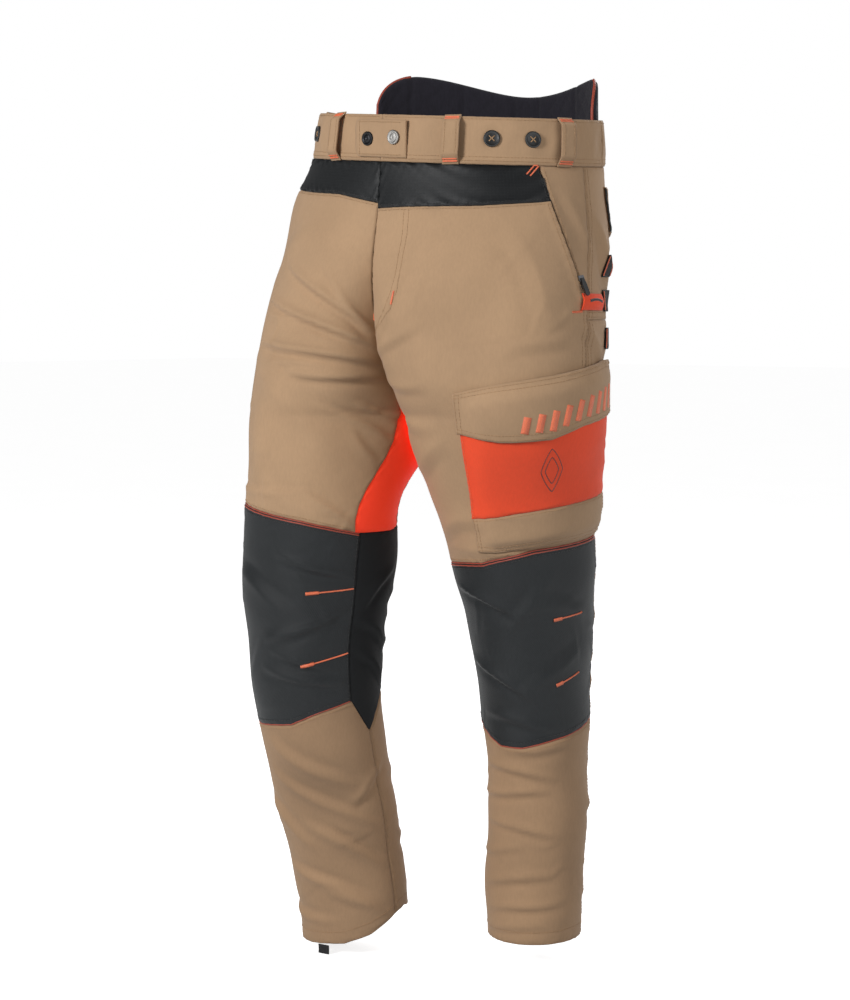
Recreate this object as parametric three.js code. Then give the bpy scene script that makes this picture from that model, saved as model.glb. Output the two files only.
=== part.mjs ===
// Forestry protective trousers, hollow, standing as worn: the wearer faces -Y, the wearer's left is +X
// and +Z is up. Millimetres. The origin is the centre of the waist opening.
import * as THREE from "three";

// ---- driving dimensions ----
const HEM_Z = { right: -1030, left: -1010 };
const CROTCH = { y: -68, z: -364 };
const LEG_TURN = THREE.MathUtils.degToRad(40);
const WAIST_SLOPE = { x: -0.066, y: 0.036 };
const BAND_HEIGHT = 56;
const CLOTH = 2.6;
const BAND_CLOTH = 3;
const SEAM_GAP = 1.6;
const GUSSET_FRONT_U = 0.06;
const GUSSET_BACK_U = 0.095;
const GUSSET_TOP_Z = -375;
const SEAT_SEAM_Z = -250;
const KNEE_SIDE_U = 0.6;
const LOOP = { width: 20, gap: 9, cloth: 2.2, foot: 6 };

// Leg rings, top to bottom: height, centre x, centre y, half width, half depth of an oval turned by LEG_TURN.
const LEG_RINGS = {
  right: [
    [-50, -104, -20, 112, 128], [-190, -112, -55, 118, 138], [-290, -112, -88, 112, 138],
    [-364, -110, -112, 104, 130], [-430, -108, -130, 96, 116], [-490, -106, -140, 94, 103],
    [-580, -106, -149, 92, 86], [-650, -106, -154, 83, 80], [-720, -106, -147, 79, 74],
    [-805, -106, -127, 76, 68], [-880, -106, -106, 73, 63], [-950, -106, -89, 70, 60],
    [-1030, -106, -78, 66, 60],
  ],
  left: [
    [-50, 104, -12, 105, 120], [-190, 110, -30, 110, 140], [-290, 112, -42, 113, 138],
    [-364, 112, -42, 110, 132], [-430, 108, -31, 101, 118], [-490, 104, -18, 95, 108],
    [-560, 104, -4, 85, 99], [-610, 104, 8, 77, 93], [-690, 104, 16, 70, 84],
    [-770, 104, 24, 65, 77], [-810, 104, 26, 63, 74], [-870, 105, 23, 62, 70],
    [-940, 106, 17, 60, 68], [-1010, 106, 14, 57, 66],
  ],
};
// Hip rings: height, half width right, half width left, half depth front, half depth back, centre y.
const HIP_RINGS = [
  [60, 190, 188, 145, 145, 0], [15, 190, 188, 145, 145, 0], [-45, 200, 190, 149, 149, -2],
  [-100, 222, 198, 158, 160, -10], [-190, 236, 212, 168, 172, -22], [-290, 232, 218, 170, 170, -36],
  [-364, 226, 222, 168, 160, -45],
];
// Centre seams: height and y.
const FRONT_SEAM = [
  [60, -145], [15, -145], [-45, -149], [-110, -156], [-186, -166], [-240, -160], [-288, -140], [-326, -112],
  [-352, -86], [CROTCH.z, CROTCH.y],
];
const BACK_SEAM = [
  [60, 145], [15, 145], [-45, 149], [-110, 150], [-190, 148], [-260, 125], [-310, 85], [-340, 35], [-357, -20],
  [CROTCH.z, CROTCH.y],
];
// Cross seams, as [u, z] points. u runs 0 inseam or front, 0.25 front, 0.5 side seam, 0.75 back, 1 inseam or back.
const YOKE_FOOT = {
  right: [[0, -111], [0.1, -98], [0.3, -88], [0.5, -86]],
  left: [[0, -117], [0.24, -116], [0.37, -112], [0.5, -110]],
};
const KNEE_TOP = {
  right: [[0, -506], [0.05, -506], [0.175, -490], [0.36, -474], [0.6, -480], [0.95, -506], [1, -506]],
  left: [[0, -548], [0.05, -548], [0.26, -540], [0.38, -522], [0.57, -510], [0.8, -530], [0.95, -548], [1, -548]],
};
// The right hem rides up over the heel.
const HEM = {
  right: [
    [0, -992], [0.086, -1015], [0.171, -1027], [0.3, -1030], [0.5, -1030], [0.7, -1008], [0.85, -990],
    [0.95, -984], [1, -992],
  ],
  left: [[0, -1010], [1, -1010]],
};
const KNEE_FOOT = {
  right: [
    [0, -752], [0.048, -712], [0.133, -726], [0.21, -742], [0.33, -747], [0.6, -740], [0.83, -711],
    [0.9, -706], [1, -752],
  ],
  left: [[0, -735], [0.05, -735], [0.147, -754], [0.235, -768], [0.31, -768], [0.57, -740], [1, -735]],
};

const COLOURS = {
  tan: [0xb29371, 0.9], black: [0x26292b, 0.75], orange: [0xe84e2d, 0.85], brown: [0x92765c, 0.9],
  pad: [0x26222e, 0.8], metal: [0x8b8a86, 0.35], stud: [0x1b1b1c, 0.4], webbing: [0x1f2122, 0.8],
};

// ---- the garment's surface ----
const clamp01 = (x) => Math.min(1, Math.max(0, x));
const smooth = (x) => clamp01(x) ** 2 * (3 - 2 * clamp01(x));
const mix = (a, b, t) => a + (b - a) * t;

// Smooth curve through rows that fall in height; the first column is the height.
function along(rows, z) {
  const up = rows.slice().reverse();
  const heights = up.map((row) => row[0]);
  const last = up.length - 1;
  const t = Math.min(heights[last], Math.max(heights[0], z));
  let i = 0;
  while (i < last - 1 && t >= heights[i + 1]) {
    i += 1;
  }
  const span = (k) => heights[k + 1] - heights[k];
  const slope = (k, c) => (up[k + 1][c] - up[k][c]) / span(k);
  const tangent = (k, c) => {
    if (k === 0) {
      return slope(0, c);
    }
    if (k === last) {
      return slope(last - 1, c);
    }
    return (slope(k - 1, c) * span(k) + slope(k, c) * span(k - 1)) / (span(k) + span(k - 1));
  };
  const s = (t - heights[i]) / span(i);
  return up[i].slice(1).map((_, n) => {
    const c = n + 1;
    return (2 * s ** 3 - 3 * s ** 2 + 1) * up[i][c] + (s ** 3 - 2 * s ** 2 + s) * span(i) * tangent(i, c)
      + (3 * s ** 2 - 2 * s ** 3) * up[i + 1][c] + (s ** 3 - s ** 2) * span(i) * tangent(i + 1, c);
  });
}

// Straight-line value of a seam's points at u.
function seamAt(points, u) {
  const last = points.length - 1;
  if (u <= points[0][0]) {
    return points[0][1];
  }
  for (let i = 0; i < last; i += 1) {
    if (u <= points[i + 1][0]) {
      return mix(points[i][1], points[i + 1][1], (u - points[i][0]) / (points[i + 1][0] - points[i][0]));
    }
  }
  return points[last][1];
}

// A point of one half of the garment. Legs are turned ovals, hips half ovals, and the two fade into each other
// above the crotch. Near u = 0 and u = 1 the surface is drawn onto the centre seams.
function surface(half, uIn, z) {
  const side = half === "left" ? 1 : -1;
  const u = z < CROTCH.z ? uIn - Math.floor(uIn) : uIn;
  const [cx, cy, wide, deep] = along(LEG_RINGS[half], z);
  const [hipRight, hipLeft, hipFront, hipBack, hipY] = along(HIP_RINGS, z);
  const hip = side < 0 ? hipRight : hipLeft;
  const cos = Math.cos(LEG_TURN);
  const sin = Math.sin(LEG_TURN);
  const legShare = smooth((-50 - z) / (-50 - CROTCH.z));
  const base = (at) => {
    const px = -side * Math.cos(2 * Math.PI * at);
    const py = -Math.sin(2 * Math.PI * at);
    const across = (px * cos + py * sin) * wide;
    const depthwise = (-px * sin + py * cos) * deep;
    const c = Math.cos(Math.PI * at);
    const hipX = side * hip * Math.sin(Math.PI * at);
    const hipYAt = hipY - c * (c > 0 ? hipFront : hipBack);
    return [
      mix(hipX, cx + across * cos - depthwise * sin, legShare),
      mix(hipYAt, cy + across * sin + depthwise * cos, legShare),
    ];
  };
  const here = base(u);
  const front = base(0);
  const back = base(1);
  let frontSeam = [0, along(FRONT_SEAM, z)[0]];
  let backSeam = [0, along(BACK_SEAM, z)[0]];
  if (z < CROTCH.z) {
    const pull = smooth(1 - (CROTCH.z - z) / 130);
    frontSeam = [mix(front[0], 0, pull), mix(front[1], CROTCH.y, pull)];
    backSeam = [mix(back[0], 0, pull), mix(back[1], CROTCH.y, pull)];
  }
  const nearFront = smooth(1 - u / 0.32);
  const nearBack = smooth(1 - (1 - u) / 0.32);
  return new THREE.Vector3(
    here[0] + (frontSeam[0] - front[0]) * nearFront + (backSeam[0] - back[0]) * nearBack,
    here[1] + (frontSeam[1] - front[1]) * nearFront + (backSeam[1] - back[1]) * nearBack,
    z,
  );
}

function outward(half, u, z) {
  const side = half === "left" ? 1 : -1;
  const du = surface(half, u + 0.002, z).sub(surface(half, u - 0.002, z));
  const dz = surface(half, u, z + 1).sub(surface(half, u, z - 1));
  return du.cross(dz).multiplyScalar(side).normalize();
}

// A point lifted off the cloth's outer face.
const lifted = (half, u, z, lift) => surface(half, u, z).addScaledVector(outward(half, u, z), lift);
const waistTop = (half, u) => {
  const at = surface(half, u, 0);
  return WAIST_SLOPE.x * at.x + WAIST_SLOPE.y * at.y;
};
const bandFoot = (half, u) => waistTop(half, u) - BAND_HEIGHT;

// ---- makers ----
const trousers = new THREE.Group();

function addMesh(name, geometry, finish, group = trousers) {
  const [color, roughness] = COLOURS[finish];
  const metalness = finish === "metal" ? 0.9 : 0;
  const mesh = new THREE.Mesh(geometry, new THREE.MeshStandardMaterial({ color, roughness, metalness }));
  mesh.name = name;
  group.add(mesh);
  return mesh;
}

// Bends a unit box, one segment thick, through place(across, up, depth), all three running 0 to 1.
function bentBox(columns, rows, place) {
  const box = new THREE.BoxGeometry(1, 1, 1, columns, rows, 1);
  const points = box.attributes.position;
  for (let i = 0; i < points.count; i += 1) {
    const at = place(points.getX(i) + 0.5, points.getY(i) + 0.5, points.getZ(i) + 0.5);
    points.setXYZ(i, at.x, at.y, at.z);
  }
  box.computeVertexNormals();
  return box;
}

// A panel of cloth between u edges (numbers or functions of z) and z edges (functions of u), thickness inwards.
function panel(name, half, cut) {
  const { from, to, foot, top, finish, lift = 0, cloth = CLOTH, columns = 8, rows = 8, trim = SEAM_GAP } = cut;
  const edge = (value, z) => (typeof value === "function" ? value(z) : value);
  const middleZ = mix(foot(0.5), top(0.5), 0.5);
  const start = surface(half, edge(from, middleZ), middleZ);
  const middle = surface(half, (edge(from, middleZ) + edge(to, middleZ)) / 2, middleZ);
  const widest = start.distanceTo(middle) * 2;
  const insetAcross = trim / 2 / widest;
  const insetUp = trim / 2 / Math.abs(top(0.5) - foot(0.5));
  const geometry = bentBox(columns, rows, (x, y, depth) => {
    const t = mix(insetAcross, 1 - insetAcross, half === "left" ? x : 1 - x);
    const v = mix(insetUp, 1 - insetUp, y);
    let u = mix(edge(from, middleZ), edge(to, middleZ), t);
    let z = middleZ;
    for (let pass = 0; pass < 6; pass += 1) {
      z = mix(foot(u), top(u), v);
      u = mix(edge(from, z), edge(to, z), t);
    }
    return lifted(half, u, z, lift - cloth * (1 - depth));
  });
  return addMesh(name, geometry, finish);
}

const HALVES = ["right", "left"];
const sideOf = (half) => (half === "left" ? 1 : -1);

// ---- legs and hips ----
const gussetFront = (z) => GUSSET_FRONT_U * clamp01((-325 - z) / 45);
const gussetBack = (z) => 1 - GUSSET_BACK_U * clamp01((-352 - z) / 16);
const SLANT = { topU: 0.365, topZ: -74, footU: 0.485, footZ: -220 };
// The slanted pocket edge: u at a height, running on to the side seam below the pocket.
const slantU = (z) => {
  const t = (SLANT.topZ - z) / (SLANT.topZ - SLANT.footZ);
  return t < 1 ? mix(SLANT.topU, SLANT.footU, clamp01(t)) : Math.min(0.5, SLANT.footU + (SLANT.footZ - z) * 0.0008);
};
const ZIP_SLOT_U = 0.018;

for (const half of HALVES) {
  const kneeTop = (u) => seamAt(KNEE_TOP[half], u);
  const kneeFoot = (u) => seamAt(KNEE_FOOT[half], u);
  const yokeFoot = (u) => seamAt(YOKE_FOOT[half], u);
  const bandEdge = (u) => bandFoot(half, u);
  const hem = (u) => seamAt(HEM[half], u);
  panel(`front_yoke_${half}`, half, {
    from: 0, to: (z) => slantU(z) - ZIP_SLOT_U, foot: yokeFoot, top: bandEdge, columns: 8, rows: 2,
    finish: "black", trim: 3,
  });
  panel(`front_panel_${half}`, half, {
    from: gussetFront, to: (z) => (z > SLANT.footZ - 25 ? slantU(z) - ZIP_SLOT_U : 0.5),
    foot: kneeTop, top: yokeFoot, columns: 9, rows: 13, finish: "tan", trim: 3,
  });
  panel(`hip_facing_${half}`, half, {
    from: (z) => slantU(z) + ZIP_SLOT_U, to: 0.5, foot: () => SLANT.footZ + 40, top: bandEdge,
    columns: 4, rows: 5, finish: "tan", trim: 3,
  });
  panel(`side_pocket_bag_${half}`, half, {
    from: 0.24, to: 0.49, foot: () => -262, top: (u) => bandEdge(u) - 12, lift: -9, cloth: 2,
    columns: 6, rows: 6, finish: "tan", trim: 3,
  });
  panel(`seat_panel_${half}`, half, {
    from: 0.503, to: 1, foot: () => SEAT_SEAM_Z, top: bandEdge, columns: 8, rows: 6, finish: "tan", trim: 3,
  });
  panel(`back_thigh_${half}`, half, {
    from: 0.503, to: gussetBack, foot: kneeTop, top: () => SEAT_SEAM_Z, columns: 8, rows: 9,
    finish: "tan", trim: 3,
  });
  // The gusset runs round the inseam, so its u goes below 0 at the back.
  const gussetTop = (u) => {
    if (u <= 0) {
      return GUSSET_TOP_Z;
    }
    return Math.min(GUSSET_TOP_Z + u * 1500, -327 - u * 750);
  };
  panel(`thigh_gusset_${half}`, half, {
    from: 0.014 - GUSSET_BACK_U, to: GUSSET_FRONT_U - 0.002, foot: (u) => kneeTop(u < 0 ? u + 1 : u),
    top: gussetTop, lift: -1, columns: 8, rows: 8, finish: "orange", trim: 3,
  });
  panel(`knee_panel_${half}`, half, {
    from: 0.048, to: KNEE_SIDE_U, foot: kneeFoot, top: kneeTop, columns: 11, rows: 6, finish: "black",
  });
  panel(`knee_inner_${half}`, half, {
    from: -0.17, to: 0.048, foot: (u) => kneeFoot(u < 0 ? u + 1 : u), top: (u) => kneeTop(u < 0 ? u + 1 : u),
    columns: 13, rows: 6, finish: "black", trim: 2.8,
  });
  panel(`knee_back_${half}`, half, {
    from: KNEE_SIDE_U, to: 0.83, foot: kneeFoot, top: kneeTop, columns: 5, rows: 6, finish: "brown",
  });
  panel(`shin_front_${half}`, half, {
    from: 0, to: KNEE_SIDE_U, foot: hem, top: kneeFoot, columns: 14, rows: 6, finish: "brown",
  });
  panel(`calf_back_${half}`, half, {
    from: KNEE_SIDE_U, to: 1, foot: hem, top: kneeFoot, columns: 8, rows: 6, finish: "brown",
  });
  // The cut-protection pad hangs inside the front of the leg, from the hip to the shin.
  panel(`protection_pad_${half}`, half, {
    from: 0.1, to: 0.42, foot: () => -925, top: () => -275, lift: -7.5, cloth: 5, columns: 6, rows: 12,
    finish: "orange", trim: 0,
  });
}

// ---- waist ----
const bandPanel = (name, half, from, to, extra) => panel(name, half, {
  from, to, foot: (u) => bandFoot(half, u), top: (u) => waistTop(half, u),
  lift: 0.6, cloth: BAND_CLOTH, rows: 2, finish: "tan", ...extra,
});
const BACK_BAND_U = 0.6;
bandPanel("waistband_right", "right", 0, BACK_BAND_U, { columns: 10 });
bandPanel("waistband_left", "left", 0, BACK_BAND_U, { columns: 10 });

// Round the centre back: b runs -1 (right side seam end) to 1 (left), 0 at the centre back.
const roundBack = (b, z, lift) => (b < 0 ? lifted("right", 1 + b, z, lift) : lifted("left", 1 - b, z, lift));
const backTop = (b) => (b < 0 ? waistTop("right", 1 + b) : waistTop("left", 1 - b));
const backBandReach = 1 - BACK_BAND_U - 0.002;
addMesh("waistband_back", bentBox(14, 2, (x, y, depth) => {
  const b = mix(backBandReach, -backBandReach, x);
  const z = backTop(b) - BAND_HEIGHT * (1 - y) + mix(0.8, -0.8, y);
  return roundBack(b, z, 0.6 - BAND_CLOTH * (1 - depth));
}), "tan");

// The kidney pad stands inside the back of the band and rises in two lobes beside a dip.
const PAD_REACH = 0.4;
const PAD_RISE = { dip: 27, lobe: 50, end: 18 };
const padTop = (b) => {
  const off = Math.abs(b) / PAD_REACH;
  const lobes = mix(PAD_RISE.dip, PAD_RISE.lobe, smooth(off / 0.72));
  return mix(lobes, PAD_RISE.end, smooth((off - 0.82) / 0.18));
};
addMesh("kidney_pad", bentBox(20, 4, (x, y, depth) => {
  const b = mix(PAD_REACH, -PAD_REACH, x);
  const z = mix(backTop(b) - BAND_HEIGHT - 8, backTop(b) + padTop(b), y);
  return roundBack(b, z, mix(-16, -3.6, depth));
}), "pad");

// Places a group on the cloth with local x to the wearer's left along the cloth, y up it, z out of it.
function onCloth(half, u, z, lift) {
  const out = outward(half, u, z);
  const up = surface(half, u, z + 4).sub(surface(half, u, z - 4)).normalize();
  const across = new THREE.Vector3().crossVectors(up, out).normalize();
  const trueUp = new THREE.Vector3().crossVectors(out, across);
  const group = new THREE.Group();
  group.quaternion.setFromRotationMatrix(new THREE.Matrix4().makeBasis(across, trueUp, out));
  group.position.copy(lifted(half, u, z, lift));
  trousers.add(group);
  return group;
}

// A belt loop: a strap bridging the band, its two feet turned in onto the cloth.
function beltLoop(name, half, u) {
  const group = onCloth(half, u, waistTop(half, u) - BAND_HEIGHT / 2, 2.6);
  const reach = BAND_HEIGHT / 2 + 1;
  const { gap, cloth, foot, width } = LOOP;
  const outline = new THREE.Shape();
  outline.moveTo(0, -reach);
  outline.lineTo(gap * 0.5, -reach);
  outline.lineTo(gap + cloth, -reach + foot);
  outline.lineTo(gap + cloth, reach - foot);
  outline.lineTo(gap * 0.5, reach);
  outline.lineTo(0, reach);
  outline.lineTo(0, reach - foot + 1);
  outline.lineTo(gap, reach - foot - 1);
  outline.lineTo(gap, -reach + foot + 1);
  outline.lineTo(0, -reach + foot - 1);
  outline.closePath();
  const geometry = new THREE.ExtrudeGeometry(outline, { depth: width, bevelEnabled: false, steps: 1 });
  geometry.translate(0, 0, -width / 2);
  geometry.rotateY(-Math.PI / 2);
  addMesh(name, geometry, "tan", group);
}
const LOOPS = { front: 0.165, side: 0.43, back: 0.8 };
for (const half of HALVES) {
  for (const [place, u] of Object.entries(LOOPS)) {
    beltLoop(`belt_loop_${place}_${half}`, half, place === "front" && half === "right" ? 0.128 : u);
  }
}
beltLoop("belt_loop_centre_back", "left", 0.9999);

// Four-hole brace buttons on the outside of the band.
const BUTTON = { r: 10, thick: 3, hole: 1.3, spread: 3.2 };
for (const half of HALVES) {
  for (const [n, u] of [[1, 0.25], [2, 0.343]]) {
    const shape = new THREE.Shape().absarc(0, 0, BUTTON.r, 0, 2 * Math.PI);
    for (const [x, y] of [[1, 1], [-1, 1], [-1, -1], [1, -1]]) {
      const hole = new THREE.Path().absarc(x * BUTTON.spread, y * BUTTON.spread, BUTTON.hole, 0, 2 * Math.PI, true);
      shape.holes.push(hole);
    }
    const geometry = new THREE.ExtrudeGeometry(shape, { depth: BUTTON.thick, bevelEnabled: false, curveSegments: 6 });
    addMesh(`brace_button_${half}_${n}`, geometry, "stud", onCloth(half, u, waistTop(half, u) - 26, 3));
  }
}

// The waist tab laps over the centre front, from its root on the left side.
const TAB = { root: 40, length: 80, height: 50, thick: 2.6, lift: 3.2 };
const tabX = { root: TAB.root, tip: TAB.root - TAB.length };
const tabY = -150.6;
const TAB_TILT = -0.067;
const tabZ = waistTop("left", 0.02) - BAND_HEIGHT / 2;
const tabPivot = new THREE.Group();
tabPivot.position.set(tabX.root, tabY, tabZ);
trousers.add(tabPivot);
const tabShape = new THREE.Shape();
tabShape.moveTo(0, -TAB.height / 2);
tabShape.lineTo(0, TAB.height / 2);
tabShape.lineTo(-TAB.length + 6, TAB.height / 2);
tabShape.quadraticCurveTo(-TAB.length, TAB.height / 2, -TAB.length, TAB.height / 2 - 8);
tabShape.lineTo(-TAB.length, -TAB.height / 2 + 8);
tabShape.quadraticCurveTo(-TAB.length, -TAB.height / 2, -TAB.length + 6, -TAB.height / 2);
tabShape.closePath();
const tabGeometry = new THREE.ExtrudeGeometry(tabShape, { depth: TAB.thick, bevelEnabled: false, curveSegments: 3 });
const tabFace = new THREE.Group();
tabFace.rotation.x = Math.PI / 2 + TAB_TILT;
tabPivot.add(tabFace);
addMesh("waist_tab", tabGeometry, "tan", tabFace);
const studOutline = [[0, 0], [8.2, 0], [8.6, 1], [7.6, 2.2], [6.2, 2.6], [0, 2.8]];
const studProfile = studOutline.map(([r, h]) => new THREE.Vector2(r, h));
for (const [name, x, finish] of [["tab_stud_outer", -57, "stud"], ["tab_stud_inner", -17, "metal"]]) {
  const stud = addMesh(name, new THREE.LatheGeometry(studProfile, 18), finish, tabFace);
  stud.position.set(x, 0, TAB.thick + 0.4);
  stud.rotation.x = Math.PI / 2;
}

// ---- zips ----
// A straight zip between two points: taped chain, slider and hanging puller. Local y runs up the zip.
function zip(name, top, foot, out, { tape, slider, puller, parkAt }) {
  const up = top.clone().sub(foot);
  const length = up.length();
  up.normalize();
  const across = new THREE.Vector3().crossVectors(up, out).normalize();
  const group = new THREE.Group();
  group.quaternion.setFromRotationMatrix(
    new THREE.Matrix4().makeBasis(across, up, new THREE.Vector3().crossVectors(across, up)),
  );
  group.position.copy(foot);
  trousers.add(group);
  const section = new THREE.Shape();
  const half = tape.width / 2;
  const points = [
    [-half, 0], [half, 0], [half, tape.thick], [tape.chain / 2, tape.thick], [tape.chain / 2, tape.thick + 1.4],
    [-tape.chain / 2, tape.thick + 1.4], [-tape.chain / 2, tape.thick], [-half, tape.thick],
  ];
  section.setFromPoints(points.map(([x, y]) => new THREE.Vector2(x, y)));
  const strip = new THREE.ExtrudeGeometry(section, { depth: length, bevelEnabled: false, steps: 1 });
  strip.rotateX(Math.PI / 2);
  strip.translate(0, length, 0);
  addMesh(`${name}_tape`, strip, "black", group);
  const seat = tape.thick + 1.4 + 0.4;
  const body = new THREE.Shape();
  body.moveTo(-slider.width / 2, slider.length / 2);
  body.lineTo(slider.width / 2, slider.length / 2);
  body.lineTo(slider.width / 2, 0);
  body.lineTo(slider.width / 4, -slider.length / 2);
  body.lineTo(-slider.width / 4, -slider.length / 2);
  body.lineTo(-slider.width / 2, 0);
  body.closePath();
  const bodyGeometry = new THREE.ExtrudeGeometry(body, { depth: slider.thick, bevelEnabled: false });
  addMesh(`${name}_slider`, bodyGeometry, "metal", group).position.set(0, parkAt, seat);
  const pull = new THREE.Shape();
  pull.moveTo(-puller.width * 0.3, 0);
  pull.lineTo(puller.width * 0.3, 0);
  pull.lineTo(puller.width / 2, -puller.length * 0.35);
  pull.lineTo(puller.width / 2, -puller.length + 2);
  pull.lineTo(puller.width / 4, -puller.length);
  pull.lineTo(-puller.width / 4, -puller.length);
  pull.lineTo(-puller.width / 2, -puller.length + 2);
  pull.lineTo(-puller.width / 2, -puller.length * 0.35);
  pull.closePath();
  const pullGeometry = new THREE.ExtrudeGeometry(pull, { depth: puller.thick, bevelEnabled: false });
  const pullMesh = addMesh(`${name}_puller`, pullGeometry, "stud", group);
  pullMesh.position.set(0, parkAt + 2, seat + slider.thick + 0.5);
}

zip("fly_zip", new THREE.Vector3(0, -136, -72), new THREE.Vector3(0, -148, -232), new THREE.Vector3(0, -1, 0), {
  tape: { width: 28, thick: 1.2, chain: 6 },
  slider: { width: 9, length: 13, thick: 3 },
  puller: { width: 6, length: 24, thick: 1.5 },
  parkAt: 150,
});
for (const half of HALVES) {
  const topZ = SLANT.topZ - 8;
  const footZ = SLANT.footZ + 6;
  const out = outward(half, slantU((topZ + footZ) / 2), (topZ + footZ) / 2);
  zip(`side_zip_${half}`, lifted(half, slantU(topZ), topZ, 1), lifted(half, slantU(footZ), footZ, 1), out, {
    tape: { width: 13, thick: 1, chain: 5 },
    slider: { width: 8, length: 11, thick: 2.6 },
    puller: { width: 6, length: 22, thick: 1.5 },
    parkAt: 10,
  });
}

// ---- cargo pocket on the wearer's left thigh ----
const FLAP_TOP = [[0, -336], [0.26, -335], [0.325, -325], [0.43, -313], [0.55, -297], [1, -297]];
const FLAP_FOOT = [[0, -382], [0.27, -382], [0.34, -387], [0.42, -385], [0.48, -371], [0.6, -357], [1, -357]];
const POCKET = { from: 0.265, to: 0.595, headBelowFlap: 25, depth: 10 };
const POCKET_FOOT = [[0, -524], [0.3, -524], [0.59, -505], [1, -505]];
// The pocket front swells from every edge over a soft box.
const pocketDepth = (u, z) => {
  const sides = smooth((u - POCKET.from) / 0.05) * smooth((POCKET.to + 0.01 - u) / 0.03);
  const ends = smooth((seamAt(FLAP_TOP, u) - z) / 22) * smooth((z - seamAt(POCKET_FOOT, u)) / 16);
  return 1.2 + POCKET.depth * sides * ends;
};
addMesh("cargo_pocket", bentBox(9, 8, (x, y, depth) => {
  const u = mix(POCKET.from, POCKET.to, x);
  const z = mix(seamAt(POCKET_FOOT, u), seamAt(FLAP_TOP, u) - POCKET.headBelowFlap, y);
  return lifted("left", u, z, mix(2, pocketDepth(u, z) + 2, depth));
}), "orange");
addMesh("cargo_flap", bentBox(9, 5, (x, y, depth) => {
  const u = mix(POCKET.from - 0.004, POCKET.to + 0.006, x);
  const z = mix(seamAt(FLAP_FOOT, u), seamAt(FLAP_TOP, u), y);
  return lifted("left", u, z, pocketDepth(u, z) + mix(3.8, 6, depth));
}), "tan");

// ---- back pocket flaps and boot hooks ----
// A hook tab hangs below the right hem; the left one is tucked up inside.
const HOOK = { width: 16, length: 11, thick: 1.6, rise: { right: -1, left: 15 } };
const BACK_FLAP = { from: 0.62, to: 0.83, top: -90, foot: -146 };
for (const half of HALVES) {
  addMesh(`back_flap_${half}`, bentBox(6, 3, (x, y, depth) => {
    const t = half === "left" ? x : 1 - x;
    const u = mix(BACK_FLAP.from, BACK_FLAP.to, t);
    const point = 12 * (1 - Math.abs(2 * t - 1)) * (1 - y);
    return lifted(half, u, mix(BACK_FLAP.foot, BACK_FLAP.top, y) - point, mix(0.8, 3.2, depth));
  }), "tan");
  const hook = onCloth(half, 0.25, HEM_Z[half] + HOOK.rise[half], -5.4);
  const side = HOOK.width / 2;
  const outline = new THREE.Shape();
  outline.moveTo(-side, 0);
  outline.lineTo(-side, -HOOK.length + 3);
  outline.lineTo(-side + 3, -HOOK.length);
  outline.lineTo(side - 3, -HOOK.length);
  outline.lineTo(side, -HOOK.length + 3);
  outline.lineTo(side, 0);
  outline.closePath();
  const strap = new THREE.ExtrudeGeometry(outline, { depth: HOOK.thick, bevelEnabled: false });
  addMesh(`boot_hook_${half}`, strap, "webbing", hook);
}

export default trousers;
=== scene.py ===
"""Forestry protective trousers, standing hollow as worn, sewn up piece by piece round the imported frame.

Inside this script lengths are millimetres until a mesh is made. The wearer faces -Y and their left is +X.
A place on the cloth is (u, z): u runs 0 at the inseam or centre front, 0.25 in front, 0.5 at the side seam,
0.75 behind and 1 at the inseam or centre back, and z is the height below the waist opening.
"""

import math
from types import SimpleNamespace

import bmesh
import bpy
import numpy as np
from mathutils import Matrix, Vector


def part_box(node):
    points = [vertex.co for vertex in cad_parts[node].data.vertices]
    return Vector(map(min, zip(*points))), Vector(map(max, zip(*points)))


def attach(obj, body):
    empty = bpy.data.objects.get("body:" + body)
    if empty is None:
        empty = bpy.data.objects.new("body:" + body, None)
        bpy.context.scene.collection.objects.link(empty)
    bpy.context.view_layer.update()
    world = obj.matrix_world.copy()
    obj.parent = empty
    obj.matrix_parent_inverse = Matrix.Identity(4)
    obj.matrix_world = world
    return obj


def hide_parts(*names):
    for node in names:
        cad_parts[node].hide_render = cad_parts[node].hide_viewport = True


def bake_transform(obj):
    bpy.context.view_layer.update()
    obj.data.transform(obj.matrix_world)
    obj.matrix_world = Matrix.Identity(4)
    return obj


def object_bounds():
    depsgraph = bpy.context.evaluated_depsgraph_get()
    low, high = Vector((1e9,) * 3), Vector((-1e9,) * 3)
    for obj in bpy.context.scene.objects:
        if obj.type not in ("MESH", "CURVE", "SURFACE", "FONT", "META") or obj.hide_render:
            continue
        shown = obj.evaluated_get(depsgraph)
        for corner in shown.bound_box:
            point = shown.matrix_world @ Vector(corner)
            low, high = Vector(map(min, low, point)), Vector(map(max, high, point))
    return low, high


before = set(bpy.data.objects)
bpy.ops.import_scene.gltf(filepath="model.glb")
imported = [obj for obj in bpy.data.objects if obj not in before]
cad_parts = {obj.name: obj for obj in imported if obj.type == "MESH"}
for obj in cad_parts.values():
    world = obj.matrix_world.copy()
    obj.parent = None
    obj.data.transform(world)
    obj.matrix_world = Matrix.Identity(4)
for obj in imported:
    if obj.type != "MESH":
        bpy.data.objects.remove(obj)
CAD_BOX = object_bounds()

bl_info = {
    "name": "Forestry protective trousers",
    "version": (1, 0, 0),
    "blender": (4, 5, 0),
    "location": "View3D > Sidebar > Trousers",
    "description": "Sews cut-protection trousers round a packed frame",
    "category": "Add Mesh",
}

MM = 0.001
ROOT = "trousers"
HALVES = ("right", "left")


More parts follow.
